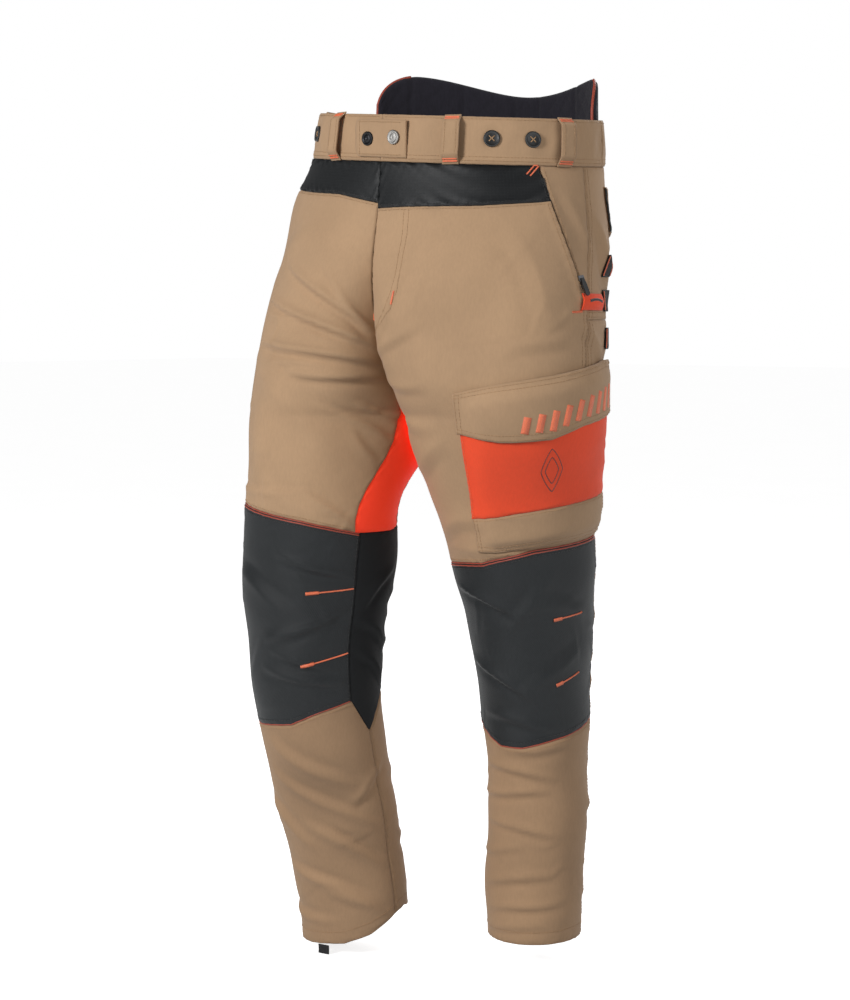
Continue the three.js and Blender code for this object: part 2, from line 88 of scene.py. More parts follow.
# ---- sizes and colours ---------------------------------------------------------------------------
def linear(code):
    """An sRGB hex colour as linear light, by the standard sRGB curve."""
    channel = [int(code[k:k + 2], 16) / 255 for k in (0, 2, 4)]
    return tuple(c / 12.92 if c <= 0.04045 else ((c + 0.055) / 1.055) ** 2.4 for c in channel) + (1.0,)


def length(name, about, default):
    """A length property, given here in millimetres."""
    return bpy.props.FloatProperty(
        name=name, description=about, default=default * MM, min=0.0, precision=5, unit="LENGTH")


def colour(name, about, default):
    """A colour property, given here in sRGB hex."""
    return bpy.props.FloatVectorProperty(
        name=name, description=about, default=linear(default), size=4, min=0.0, max=1.0, subtype="COLOR")


class TrouserSizes(bpy.types.PropertyGroup):
    """Sizes a maker would change."""

    cloth: length("Cloth", "Thickness of one layer of canvas with its lining", 2.0)
    band_height: length("Band height", "Height of the waistband", 56.0)
    seam_valley: length("Seam valley", "How deep a seam sinks into the cloth", 1.0)
    stitch: length("Stitch", "Length of one stitch", 3.2)
    stitch_gap: length("Stitch gap", "Space between two stitches", 1.0)
    thread: length("Thread", "Thickness of the topstitching thread", 0.75)
    piping: length("Piping", "Radius of the piped cord", 0.85)
    weave: length("Weave pitch", "Width of one drawn thread; the real 0.5 mm is too fine to show", 1.5)
    twill: length("Twill pitch", "Width of one drawn twill rib; the real 0.9 mm is too fine to show", 2.2)


class TrouserColours(bpy.types.PropertyGroup):
    """Colours of the finishes."""

    tan: colour("Tan canvas", "Hips, thighs and waistband", "B39271")
    # Painted shade: the tan canvas made darker for the lower legs.
    shin: colour("Shin canvas", "Lower legs, back of the knees", "A98868")
    black: colour("Black twill", "Knee panels", "1C1F21")
    yoke: colour("Black ripstop", "Yoke", "131517")
    stretch: colour("Stretch knit", "Inside of the knees", "121416")
    orange: colour("Orange canvas", "Cargo pocket", "F94F26")
    gusset: colour("Gusset canvas", "Inner thighs", "FA3D1D")
    tack: colour("Bartack thread", "Bartacks and darts", "E8754F")
    piping: colour("Piping", "Cord above and below the knees", "A0432F")
    thread: colour("Tan thread", "Topstitching on the canvas", "A88560")
    lining: colour("Kidney pad", "Quilted knit of the kidney pad", "1E1C25")


def sizes():
    """The size properties in millimetres."""
    group = bpy.context.scene.trouser_sizes
    return SimpleNamespace(**{key: round(getattr(group, key) / MM, 4)
                              for key in TrouserSizes.__annotations__})


def hues():
    """The colour properties as linear light."""
    group = bpy.context.scene.trouser_colours
    return SimpleNamespace(**{key: tuple(getattr(group, key)) for key in TrouserColours.__annotations__})


# ---- the garment's surface -----------------------------------------------------------------------
CROTCH_Y, CROTCH_Z = -68.0, -364.0
# Above HIP_Z the cloth follows the hips alone; from there it fades into the legs down to the crotch.
HIP_Z = -50.0
# Below the crotch the inseam is drawn to it over this height, and beside a centre seam over this share of u.
CROTCH_REACH, SEAM_REACH = 130.0, 0.32
LEG_TURN = math.radians(40.0)
# Rise of the waist's plane for each millimetre in x and in y.
WAIST_SLOPE = (-0.066, 0.036)
# Millimetres round the cloth for each unit of u, near enough for folds, stitches and welts.
GIRTH_PER_U = 600.0
FOLD_SEED = 11
# Leg rings: height, centre x, centre y, half width, half depth of an oval turned by LEG_TURN.
LEG_RINGS = {
    "right": [
        (-50, -104, -20, 112, 128), (-190, -112, -55, 118, 138), (-290, -112, -88, 112, 138),
        (-364, -110, -112, 104, 130), (-430, -108, -130, 96, 116), (-490, -106, -140, 94, 103),
        (-580, -106, -149, 92, 86), (-650, -106, -154, 83, 80), (-720, -106, -147, 79, 74),
        (-805, -106, -127, 76, 68), (-880, -106, -106, 73, 63), (-950, -106, -89, 70, 60),
        (-1030, -106, -78, 66, 60),
    ],
    "left": [
        (-50, 104, -12, 105, 120), (-190, 110, -30, 110, 140), (-290, 112, -42, 113, 138),
        (-364, 112, -42, 110, 132), (-430, 108, -31, 101, 118), (-490, 104, -18, 95, 108),
        (-560, 104, -4, 85, 99), (-610, 104, 8, 77, 93), (-690, 104, 16, 70, 84),
        (-770, 104, 24, 65, 77), (-810, 104, 26, 63, 74), (-870, 105, 23, 62, 70),
        (-940, 106, 17, 60, 68), (-1010, 106, 14, 57, 66),
    ],
}
# Hip rings: height, half width right, half width left, half depth front, half depth back, centre y.
HIP_RINGS = [
    (60, 190, 188, 145, 145, 0), (15, 190, 188, 145, 145, 0), (-45, 200, 190, 149, 149, -2),
    (-100, 222, 198, 158, 160, -10), (-190, 236, 212, 168, 172, -22), (-290, 232, 218, 170, 170, -36),
    (-364, 226, 222, 168, 160, -45),
]
# Centre seams: height and y.
FRONT_SEAM = [
    (60, -145), (15, -145), (-45, -149), (-110, -156), (-186, -166), (-240, -160), (-288, -140), (-326, -112),
    (-352, -86), (CROTCH_Z, CROTCH_Y),
]
BACK_SEAM = [
    (60, 145), (15, 145), (-45, 149), (-110, 150), (-190, 148), (-260, 125), (-310, 85), (-340, 35),
    (-357, -20),
    (CROTCH_Z, CROTCH_Y),
]
# Cross seams as (u, z) points.
YOKE_FOOT = {
    "right": [(0, -111), (0.1, -98), (0.3, -88), (0.5, -86)],
    "left": [(0, -117), (0.24, -116), (0.37, -112), (0.5, -110)],
}
KNEE_TOP = {
    "right": [(0, -506), (0.05, -506), (0.175, -490), (0.36, -474), (0.6, -480), (0.95, -506), (1, -506)],
    "left": [(0, -548), (0.05, -548), (0.26, -540), (0.38, -522), (0.57, -510), (0.8, -530), (0.95, -548),
             (1, -548)],
}
KNEE_FOOT = {
    "right": [
        (0, -752), (0.048, -712), (0.133, -726), (0.21, -742), (0.33, -747), (0.6, -740), (0.83, -711),
        (0.9, -706),
        (1, -752),
    ],
    "left": [(0, -735), (0.05, -735), (0.147, -754), (0.235, -768), (0.31, -768), (0.57, -740), (1, -735)],
}
HEM = {
    "right": [
        (0, -992), (0.086, -1015), (0.171, -1027), (0.3, -1030), (0.5, -1030), (0.7, -1008), (0.85, -990),
        (0.95, -984),
        (1, -992),
    ],
    "left": [(0, -1010), (1, -1010)],
}


def smooth(x):
    """Smoothstep of x clipped to 0..1: three x squared less two x cubed."""
    x = np.clip(x, 0.0, 1.0)
    return x * x * (3.0 - 2.0 * x)


def along(rows, z):
    """Cubic Hermite curve through rows that fall in height, one value per column after the height."""
    table = np.array(rows, float)[::-1]
    knots, values = table[:, 0], table[:, 1:]
    z = np.clip(z, knots[0], knots[-1])
    i = np.clip(np.searchsorted(knots, z, side="right") - 1, 0, len(knots) - 2)
    span = np.diff(knots)
    slope = np.diff(values, axis=0) / span[:, None]
    tangent = np.empty_like(values)
    tangent[0], tangent[-1] = slope[0], slope[-1]
    weight = (span[1:] + span[:-1])[:, None]
    tangent[1:-1] = (slope[:-1] * span[:-1, None] + slope[1:] * span[1:, None]) / weight
    s = ((z - knots[i]) / span[i])[..., None]
    width = span[i][..., None]
    return (
        (2 * s**3 - 3 * s**2 + 1) * values[i]
        + (s**3 - 2 * s**2 + s) * width * tangent[i]
        + (3 * s**2 - 2 * s**3) * values[i + 1]
        + (s**3 - s**2) * width * tangent[i + 1]
    )


def seam_at(points, u):
    """Height of a cross seam at u, straight between its points."""
    table = np.array(points, float)
    return np.interp(u, table[:, 0], table[:, 1])


def surface(half, u, z):
    """Points of one half of the garment: a turned oval round each leg, half an oval round the hips, the
    two faded into each other above the crotch, and the ends at u = 0 and 1 drawn onto the centre
    seams."""
    side = 1.0 if half == "left" else -1.0
    u, z = np.broadcast_arrays(np.asarray(u, float), np.asarray(z, float))
    u = np.where(z < CROTCH_Z, u - np.floor(u), u)
    cx, cy, wide, deep = np.moveaxis(along(LEG_RINGS[half], z), -1, 0)
    hip_right, hip_left, hip_front, hip_back, hip_y = np.moveaxis(along(HIP_RINGS, z), -1, 0)
    hip = hip_left if side > 0 else hip_right
    cos, sin = math.cos(LEG_TURN), math.sin(LEG_TURN)
    share = smooth((HIP_Z - z) / (HIP_Z - CROTCH_Z))

    def base(at):
        px, py = -side * np.cos(2 * np.pi * at), -np.sin(2 * np.pi * at)
        across, depth = (px * cos + py * sin) * wide, (-px * sin + py * cos) * deep
        c = np.cos(np.pi * at)
        hip_x, hip_at = side * hip * np.sin(np.pi * at), hip_y - c * np.where(c > 0, hip_front, hip_back)
        x = hip_x + (cx + across * cos - depth * sin - hip_x) * share
        y = hip_at + (cy + across * sin + depth * cos - hip_at) * share
        return np.stack([x, y], -1)

    here, front, back = base(u), base(u * 0.0), base(u * 0.0 + 1.0)
    below = (z < CROTCH_Z)[..., None]
    pull = smooth(1.0 - (CROTCH_Z - z) / CROTCH_REACH)[..., None]
    crotch = np.array([0.0, CROTCH_Y])
    front_seam = np.stack([z * 0.0, along(FRONT_SEAM, z)[..., 0]], -1)
    back_seam = np.stack([z * 0.0, along(BACK_SEAM, z)[..., 0]], -1)
    front_seam = np.where(below, front + (crotch - front) * pull, front_seam)
    back_seam = np.where(below, back + (crotch - back) * pull, back_seam)
    near_front = smooth(1.0 - u / SEAM_REACH)[..., None]
    near_back = smooth(1.0 - (1.0 - u) / SEAM_REACH)[..., None]
    flat = here + (front_seam - front) * near_front + (back_seam - back) * near_back
    return np.concatenate([flat, z[..., None]], -1)


def outward(half, u, z):
    """Unit normals of the garment's outer face, from the difference of near points."""
    side = 1.0 if half == "left" else -1.0
    du = surface(half, u + 0.004, z) - surface(half, u - 0.004, z)
    dz = surface(half, u, z + 3.0) - surface(half, u, z - 3.0)
    normal = np.cross(du, dz) * side
    return normal / np.linalg.norm(normal, axis=-1, keepdims=True)


# Soft folds pressed into the worn cloth: half, one end and the other end as (u, z), half width, height.
FRONT_FOLDS = [
    ("right", (0.00, -268), (0.25, -172), 9, 5.4), ("right", (0.00, -286), (0.34, -214), 8, 6.4),
    ("right", (0.01, -304), (0.35, -270), 8, 6.4), ("right", (0.02, -280), (0.12, -170), 9, 2.4),
    ("right", (0.19, -346), (0.06, -402), 7, 2.6), ("right", (0.12, -352), (0.05, -370), 6, 2.6),
    ("right", (0.14, -380), (0.07, -428), 6, 1.8), ("right", (0.44, -455), (0.16, -457), 6, 1.8),
    ("right", (0.19, -450), (0.05, -506), 6, 2.2), ("right", (0.38, -290), (0.12, -420), 26, 2.6),
    ("right", (0.36, -205), (0.12, -135), 22, 2.2), ("right", (0.30, -440), (0.12, -486), 14, 1.6),
    ("right", (0.03, -322), (0.24, -310), 7, 4.4),
    ("right", (0.16, -262), (0.33, -236), 8, 2.6), ("right", (0.14, -300), (0.33, -304), 7, 2.2),
    ("left", (0.04, -296), (0.20, -250), 10, 2.0), ("left", (0.05, -322), (0.22, -328), 10, 2.0),
    ("left", (0.06, -352), (0.22, -384), 14, 2.2), ("left", (0.08, -430), (0.24, -396), 16, 2.0),
    ("left", (0.12, -505), (0.30, -486), 14, 2.0), ("left", (0.07, -288), (0.13, -170), 11, 2.0),
    ("left", (0.30, -130), (0.43, -262), 18, 1.8), ("left", (0.44, -236), (0.57, -300), 11, 2.4),
    ("left", (0.50, -120), (0.64, -205), 15, 2.2), ("left", (0.16, -530), (0.42, -524), 10, 1.8),
    ("left", (0.33, -290), (0.47, -262), 12, 1.6), ("left", (0.43, -90), (0.52, -190), 12, 1.8),
    ("right", (0.05, -562), (0.24, -528), 8, 3.8), ("right", (0.06, -598), (0.26, -640), 8, 3.8),
    ("right", (0.06, -690), (0.28, -672), 8, 4.0), ("right", (0.07, -672), (0.25, -650), 7, 3.2),
    ("right", (0.38, -552), (0.18, -604), 14, 2.6),
    ("right", (0.36, -690), (0.20, -625), 15, 2.0), ("right", (0.92, -545), (1.04, -600), 10, 3.0),
    ("right", (0.90, -640), (1.045, -612), 10, 2.8), ("right", (0.90, -690), (1.03, -650), 9, 2.6),
    ("left", (0.14, -566), (0.34, -604), 8, 3.8), ("left", (0.44, -548), (0.25, -640), 13, 2.8),
    ("left", (0.13, -655), (0.36, -706), 8, 4.0), ("left", (0.50, -640), (0.30, -716), 14, 2.4),
    ("left", (0.16, -728), (0.44, -742), 9, 3.2), ("left", (0.52, -600), (0.34, -590), 13, 2.0),
    ("right", (0.30, -764), (0.06, -826), 12, 3.4), ("right", (0.32, -802), (0.02, -880), 10, 3.2),
    ("right", (0.24, -872), (0.01, -926), 10, 3.4), ("right", (0.36, -926), (0.04, -978), 10, 3.2),
    ("right", (0.40, -846), (0.20, -900), 12, 2.8), ("right", (0.22, -955), (0.02, -990), 8, 2.2),
    ("right", (0.45, -985), (0.18, -1002), 9, 2.4), ("right", (0.96, -792), (1.10, -842), 9, 2.6),
    ("left", (0.13, -788), (0.42, -806), 7, 2.8), ("left", (0.09, -828), (0.40, -822), 7, 3.2),
    ("left", (0.14, -860), (0.44, -876), 7, 2.6), ("left", (0.08, -902), (0.32, -892), 7, 2.0),
    ("left", (0.12, -938), (0.44, -924), 8, 2.6), ("left", (0.16, -972), (0.46, -956), 7, 2.6),
    ("left", (0.22, -770), (0.46, -764), 9, 2.2), ("left", (0.10, -992), (0.42, -988), 7, 1.6),
]
BACK_FOLDS = [
    ((0.58, -274), (0.94, -304), 18, 3.2), ((0.66, -336), (0.96, -350), 14, 3.4),
    ((0.54, -420), (0.84, -398), 18, 2.6),
    ((0.60, -372), (0.90, -384), 13, 2.4), ((0.55, -470), (0.86, -478), 13, 2.6),
    ((0.62, -556), (0.92, -584), 12, 3.6),
    ((0.58, -606), (0.90, -616), 11, 3.8), ((0.62, -650), (0.92, -640), 11, 3.6),
    ((0.58, -692), (0.88, -682), 12, 3.2),
    ((0.60, -790), (0.92, -812), 12, 3.0), ((0.54, -842), (0.86, -858), 11, 3.2),
    ((0.62, -902), (0.94, -888), 11, 3.0),
    ((0.56, -950), (0.90, -962), 10, 2.6), ((0.70, -180), (0.94, -222), 20, 2.4),
    ((0.54, -130), (0.66, -240), 16, 2.0),
]


def all_folds():
    """The placed folds, the back's folds on both halves, and small scattered creases from a fixed seed."""
    rng = np.random.default_rng(FOLD_SEED)
    rows = list(FRONT_FOLDS) + [(h, *row) for h in HALVES for row in BACK_FOLDS]
    for h in HALVES:
        for _ in range(70):
            u, z = rng.uniform(0.06, 0.94), rng.uniform(-985, -140)
            lean = rng.normal(0.0, 0.25) if z < -750 else rng.normal(0.0, 0.8)
            reach = rng.uniform(18, 48)
            du, dz = reach * math.cos(lean) / GIRTH_PER_U, reach * math.sin(lean)
            ends = (max(u - du, 0.02), z - dz), (min(u + du, 0.98), z + dz)
            rows.append((h, *ends, rng.uniform(3.5, 7.0), rng.uniform(0.35, 0.85)))
    return rows


FOLDS = []


def folds(half, u, z):
    """Height of the worn-in folds: each is a crisp, slightly wavy ridge beside a gully, fading out."""
    u, z = np.broadcast_arrays(np.asarray(u, float), np.asarray(z, float))
    total = np.zeros(u.shape)
    for owner, (u0, z0), (u1, z1), width, height in FOLDS:
        if owner != half:
            continue
        du = u - u0
        du = np.where(z < CROTCH_Z, du - np.round(du), du)
        run = np.array([(u1 - u0) * GIRTH_PER_U, z1 - z0])
        reach = np.hypot(*run)
        t = (du * GIRTH_PER_U * run[0] + (z - z0) * run[1]) / reach**2
        off = (du * GIRTH_PER_U * run[1] - (z - z0) * run[0]) / reach / width
        fade = np.sin(np.pi * np.clip(t, 0.0, 1.0)) ** 0.8
        off = off + 0.35 * np.sin(t * 5.0 + u0 * 40.0)
        crest = np.exp(-1.9 * (np.sqrt(off**2 + 0.03) - 0.17))
        gully = np.exp(-2.2 * (np.sqrt((off - 1.15) ** 2 + 0.03) - 0.17))
        total += 1.35 * height * fade * (crest - 0.7 * gully)
    return total


def ripple(points):
    """Slow unevenness of hanging cloth: six sine waves in fixed directions, 60 to 190 mm long."""
    waves = [
        (0.031, 0.012, 0.041, 0.3, 0.9), (-0.022, 0.036, 0.018, 1.7, 0.9), (0.014, -0.027, 0.062, 2.6, 0.6),
        (0.045, 0.029, -0.013, 4.1, 0.6), (-0.038, 0.008, 0.055, 5.2, 0.5), (0.019, 0.051, 0.037, 0.9, 0.4),
    ]
    total = np.zeros(points.shape[:-1])
    for kx, ky, kz, phase, height in waves:
        total += height * np.sin(points[..., 0] * kx + points[..., 1] * ky + points[..., 2] * kz + phase)
    return total


def on_cloth(half, u, z, lift=0.0):
    """Points lifted off the draped cloth's outer face, and the normals there."""
    u, z = np.broadcast_arrays(np.asarray(u, float), np.asarray(z, float))
    points, normals = surface(half, u, z), outward(half, u, z)
    fade = smooth((-62.0 - z) / 50.0)
    # The hip zips and the fly hold the cloth flat beside them.
    zips = np.exp(-(((u - pocket_line(z)) * GIRTH_PER_U / 20.0) ** 2)) * smooth((z + 262.0) / 20.0)
    fly = np.exp(-((u * GIRTH_PER_U / 22.0) ** 2)) * smooth((z + 250.0) / 40.0)
    fade = fade * (1.0 - 0.85 * np.maximum(zips, fly))
    drape = (folds(half, u, z) + ripple(points)) * fade
    return points + normals * (drape + lift)[..., None], normals


def waist_top(half, u):
    """Height of the waistband's top edge, which slopes with the waist."""
    at = surface(half, u, np.asarray(u, float) * 0.0)
    return WAIST_SLOPE[0] * at[..., 0] + WAIST_SLOPE[1] * at[..., 1]


def band_foot(half, u):
    """Height of the waistband's lower edge."""
    return waist_top(half, u) - sizes().band_height


# ---- mesh makers ---------------------------------------------------------------------------------
def grid_faces(rows, columns, start=0, flip=False):
    """Four-cornered faces of a grid of points stored row by row."""
    index = start + np.arange(rows * columns).reshape(rows, columns)
    faces = np.stack([index[:-1, :-1], index[:-1, 1:], index[1:, 1:], index[1:, :-1]], -1).reshape(-1, 4)
    return faces[:, ::-1] if flip else faces


def new_piece(name, points, faces, uv=None, seam=None):
    """Makes one object from points in millimetres and four-cornered faces."""
    mesh = bpy.data.meshes.new(name)
    points = np.ascontiguousarray(np.asarray(points, float).reshape(-1, 3) * MM)
    faces = np.ascontiguousarray(faces, dtype=np.int32)
    mesh.vertices.add(len(points))
    mesh.vertices.foreach_set("co", points.ravel())
    mesh.loops.add(faces.size)
    mesh.loops.foreach_set("vertex_index", faces.ravel())
    mesh.polygons.add(len(faces))
    mesh.polygons.foreach_set("loop_start", np.arange(0, faces.size, 4, dtype=np.int32))
    mesh.update(calc_edges=True)
    if uv is not None:
        layer = mesh.uv_layers.new(name="cloth")
        layer.data.foreach_set("uv", np.ascontiguousarray(uv.reshape(-1, 2)[faces.ravel()] * MM).ravel())
    # The seam attribute paints shade on the cloth near its seams.
    if seam is not None:
        attribute = mesh.attributes.new("seam", "FLOAT", "POINT")
        attribute.data.foreach_set("value", np.ascontiguousarray(seam.ravel(), dtype=np.float32))
    mesh.validate()
    mesh.shade_smooth()
    piece = bpy.data.objects.new(name, mesh)
    bpy.context.scene.collection.objects.link(piece)
    return piece


def close_sheet(outer, inner, flip):
    """Points and faces of a closed shell: two grids joined round their rim by a strip of faces."""
    rows, columns = outer.shape[:2]
    count = rows * columns
    index = np.arange(count).reshape(rows, columns)
    rim = np.concatenate([index[0, :], index[1:, -1], index[-1, -2::-1], index[-2:0:-1, 0]])
    following = np.roll(rim, -1)
    side = np.stack([following, rim, rim + count, following + count], -1)
    faces = np.concatenate([
        grid_faces(rows, columns), grid_faces(rows, columns, count, True), side,
    ])
    points = np.concatenate([outer.reshape(-1, 3), inner.reshape(-1, 3)])
    return points, faces[:, ::-1] if flip else faces


def shell(name, outer, normals, thick, seam, kind, zone, replaces=(), uv=None, flip=False):
    """A cloth of even thickness: its outer face and a copy of it set inwards, laid flat by length along
    the face unless uv says where, with its finish and the body it rides on. Gives the piece and its
    flat places."""
    points, faces = close_sheet(outer, outer - normals * thick, flip)
    uv = np.stack([arc(outer, 1), arc(outer, 0)], -1) if uv is None else uv
    piece = new_piece(name, points, faces, np.tile(uv.reshape(-1, 2), (2, 1)), np.tile(seam.ravel(), 2))
    return finish_piece(piece, finish(kind), zone, replaces), uv


def spread(reach, spacing):
    """Shares 0..1 along a width of reach mm: close together at both ends, where seams lie, and even
    between."""
    ends = np.array([0.0, 0.9, 2.0, 3.6, 5.8, 8.6])
    ends = ends[ends < reach * 0.3]
    count = max(2, int(round((reach - 2 * ends[-1]) / spacing)))
    middle = np.linspace(ends[-1], reach - ends[-1], count + 1)
    return np.concatenate([ends[:-1], middle, (reach - ends[:-1])[::-1]]) / reach


def arc(points, axis):
    """Distance run along an axis of a grid of points, counted from the middle of the grid."""
    step = np.linalg.norm(np.diff(points, axis=axis), axis=-1)
    first = np.zeros_like(np.take(step, [0], axis=axis))
    run = np.cumsum(np.concatenate([first, step], axis=axis), axis=axis)
    return run - np.take(run, [run.shape[axis] // 2], axis=axis)


class Cut:
    """One cut piece of cloth on a half of the garment, between two u edges and two cross seams.

    start and stop are u edges, foot and top are heights, each a number or a function of z or u. lift is
    the height over the cloth. The edges sink into a valley, pucker a little, and carry a seam
    attribute that paints shade on the cloth along them."""

    def __init__(self, half, start, stop, foot, top, lift=0.0, spacing=3.8, valley=None, pucker=0.35,
                 gap=0.15):
        self.half, self.start, self.stop, self.foot, self.top = half, start, stop, foot, top
        mid_z = 0.5 * (self.value(foot, 0.5) + self.value(top, 0.5))
        u_line = np.linspace(self.value(start, mid_z), self.value(stop, mid_z), 40)
        row = surface(half, u_line, np.full(40, mid_z))
        self.width = float(np.linalg.norm(np.diff(row, axis=0), axis=-1).sum())
        middle_u = 0.5 * (u_line[0] + u_line[-1])
        self.height = float(abs(self.value(top, middle_u) - self.value(foot, middle_u)))
        self.t, self.v = spread(self.width, spacing), spread(self.height, spacing)
        inset_t, inset_v = gap / self.width, gap / self.height
        t = inset_t + (1 - 2 * inset_t) * self.t[None, :] + 0 * self.v[:, None]
        v = inset_v + (1 - 2 * inset_v) * self.v[:, None] + 0 * self.t[None, :]
        u, z = self.place(t, v, mid_z)
        deep = sizes().seam_valley if valley is None else valley
        from_sides = np.minimum(self.t, 1 - self.t)[None, :] * self.width
        from_ends = np.minimum(self.v, 1 - self.v)[:, None] * self.height
        near = np.minimum(from_sides + 0 * from_ends, from_ends + 0 * from_sides)
        run = surface(half, u, z)
        wave = np.sin(run[..., 2] * 0.52 + run[..., 0] * 0.33 - run[..., 1] * 0.41)
        wave = wave + 0.6 * np.sin(run[..., 2] * 0.23 - run[..., 0] * 0.61 + run[..., 1] * 0.19 + 1.1)
        relief = -deep * np.exp(-((near / 1.7) ** 2)) + pucker * wave * np.exp(-near / 9.0)
        height = lift(u, z) if callable(lift) else lift
        self.outer, self.normals = on_cloth(half, u, z, relief + height)
        # Painted shade: strongest at the edges, fading over 3 mm.
        self.seam = np.exp(-near / 3.0)

    @staticmethod
    def value(edge, at):
        """An edge's value, whether it is a number or a function."""
        return edge(at) if callable(edge) else edge + 0.0 * np.asarray(at, float)

    def place(self, t, v, mid_z):
        """The (u, z) at shares t across and v up, found by passing between the side and cross edges."""
        u = self.value(self.start, mid_z) + (self.value(self.stop, mid_z) - self.value(self.start, mid_z)) * t
        z = u * 0.0 + mid_z
        for _ in range(6):
            wrapped = np.where(u < 0, u + 1.0, u)
            low, high = self.value(self.foot, wrapped), self.value(self.top, wrapped)
            z = low + (high - low) * v
            left, right = self.value(self.start, z), self.value(self.stop, z)
            u = left + (right - left) * t
        return u, z

    def sample(self, t, v):
        """Points and normals on the finished piece at shares t and v, read off its grid."""
        t, v = np.broadcast_arrays(np.asarray(t, float), np.asarray(v, float))
        a = np.interp(t, self.t, np.arange(len(self.t)))
        b = np.interp(v, self.v, np.arange(len(self.v)))
        i, j = np.clip(a.astype(int), 0, len(self.t) - 2), np.clip(b.astype(int), 0, len(self.v) - 2)
        fa, fb = (a - i)[..., None], (b - j)[..., None]
        read = lambda g: (
            (g[j, i] * (1 - fa) + g[j, i + 1] * fa) * (1 - fb)
            + (g[j + 1, i] * (1 - fa) + g[j + 1, i + 1] * fa) * fb
        )
        normals = read(self.normals)
        return read(self.outer), normals / np.linalg.norm(normals, axis=-1, keepdims=True)

    def shares(self, u, z):
        """The shares t and v of a place (u, z) on this piece."""
        u, z = np.asarray(u, float), np.asarray(z, float)
        low, high = self.value(self.foot, u), self.value(self.top, u)
        left, right = self.value(self.start, z), self.value(self.stop, z)
        return np.clip((u - left) / (right - left), 0, 1), np.clip((z - low) / (high - low), 0, 1)

    def line(self, places, count=80):
        """Points and normals along a polyline of (u, z) places."""
        table = np.array(places, float)
        step = np.hypot(np.diff(table[:, 0]) * GIRTH_PER_U, np.diff(table[:, 1]))
        run = np.concatenate([[0], np.cumsum(step)])
        at = np.linspace(0, run[-1], count)
        return self.sample(*self.shares(np.interp(at, run, table[:, 0]), np.interp(at, run, table[:, 1])))

    def edge_line(self, edge, inset, ends=(0.0, 1.0)):
        """Points and normals along a line inset mm from one edge: left, right, top or foot."""
        count = int(max(self.width, self.height) / 3)
        run = np.linspace(ends[0], ends[1], count)
        across, up = inset / self.width, inset / self.height
        places = {
            "left": (across, run), "right": (1 - across, run), "top": (run, 1 - up), "foot": (run, up),
        }[edge]
        return self.sample(*places)

    def make(self, name, kind, zone, slot, replaces=(), cloth=None):
        thick = sizes().cloth if cloth is None else cloth
        piece, uv = shell(name, self.outer, self.normals, thick, self.seam, kind, zone, replaces,
                          flip=self.half == "right")
        return piece


def finish_piece(piece, material, zone, replaces=()):
    """Gives a piece its finish and lets it ride on a body; a piece across a knee only has its place baked into
    its points.
    """
    piece.data.materials.append(material)
    if zone.startswith("knee_"):
        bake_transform(piece)
    else:
        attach(piece, zone)
    if replaces:
        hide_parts(*replaces)
    return piece


def swept(path, normals, section):
    """Points and faces of a section carried along a path. The section's first axis lies across the path
    along the cloth and its second along the normal; both ends are closed by folding the last ring to
    its middle."""
    tangent = np.gradient(path, axis=0)
    tangent /= np.linalg.norm(tangent, axis=-1, keepdims=True)
    across = np.cross(tangent, normals)
    across /= np.linalg.norm(across, axis=-1, keepdims=True)
    up = np.cross(across, tangent)
    section = np.asarray(section, float)
    rings = path[:, None] + across[:, None] * section[None, :, :1] + up[:, None] * section[None, :, 1:]
    first, last = rings[:1].mean(axis=1, keepdims=True), rings[-1:].mean(axis=1, keepdims=True)
    rings = np.concatenate([first + 0 * rings[:1], rings, last + 0 * rings[-1:]])
    rows, columns = rings.shape[:2]
    index = np.arange(rows * columns).reshape(rows, columns)
    following = np.roll(index, -1, axis=1)
    faces = np.stack([index[:-1], following[:-1], following[1:], index[1:]], -1).reshape(-1, 4)
    return rings.reshape(-1, 3), faces[:, ::-1]


def round_section(radius, sides=8):
    """A ring of points round a circle."""
    turn = np.linspace(0, 2 * np.pi, sides, endpoint=False)
    return np.stack([np.cos(turn) * radius, np.sin(turn) * radius], -1)


def joined(parts):
    """Several (points, faces) put together in one."""
    points, faces, start = [], [], 0
    for some_points, some_faces in parts:
        some_points = np.asarray(some_points).reshape(-1, 3)
        points.append(some_points)
        faces.append(some_faces + start)
        start += len(some_points)
    return np.concatenate(points), np.concatenate(faces)


def even(path, normals, step):
    """A path read again at even steps, with its normals."""
    length_run = np.concatenate([[0], np.cumsum(np.linalg.norm(np.diff(path, axis=0), axis=-1))])
    at = np.arange(step / 2, length_run[-1], step)
    read = lambda g: np.stack([np.interp(at, length_run, g[:, k]) for k in range(3)], -1)
    some = read(normals)
    return read(path), some / np.linalg.norm(some, axis=-1, keepdims=True)


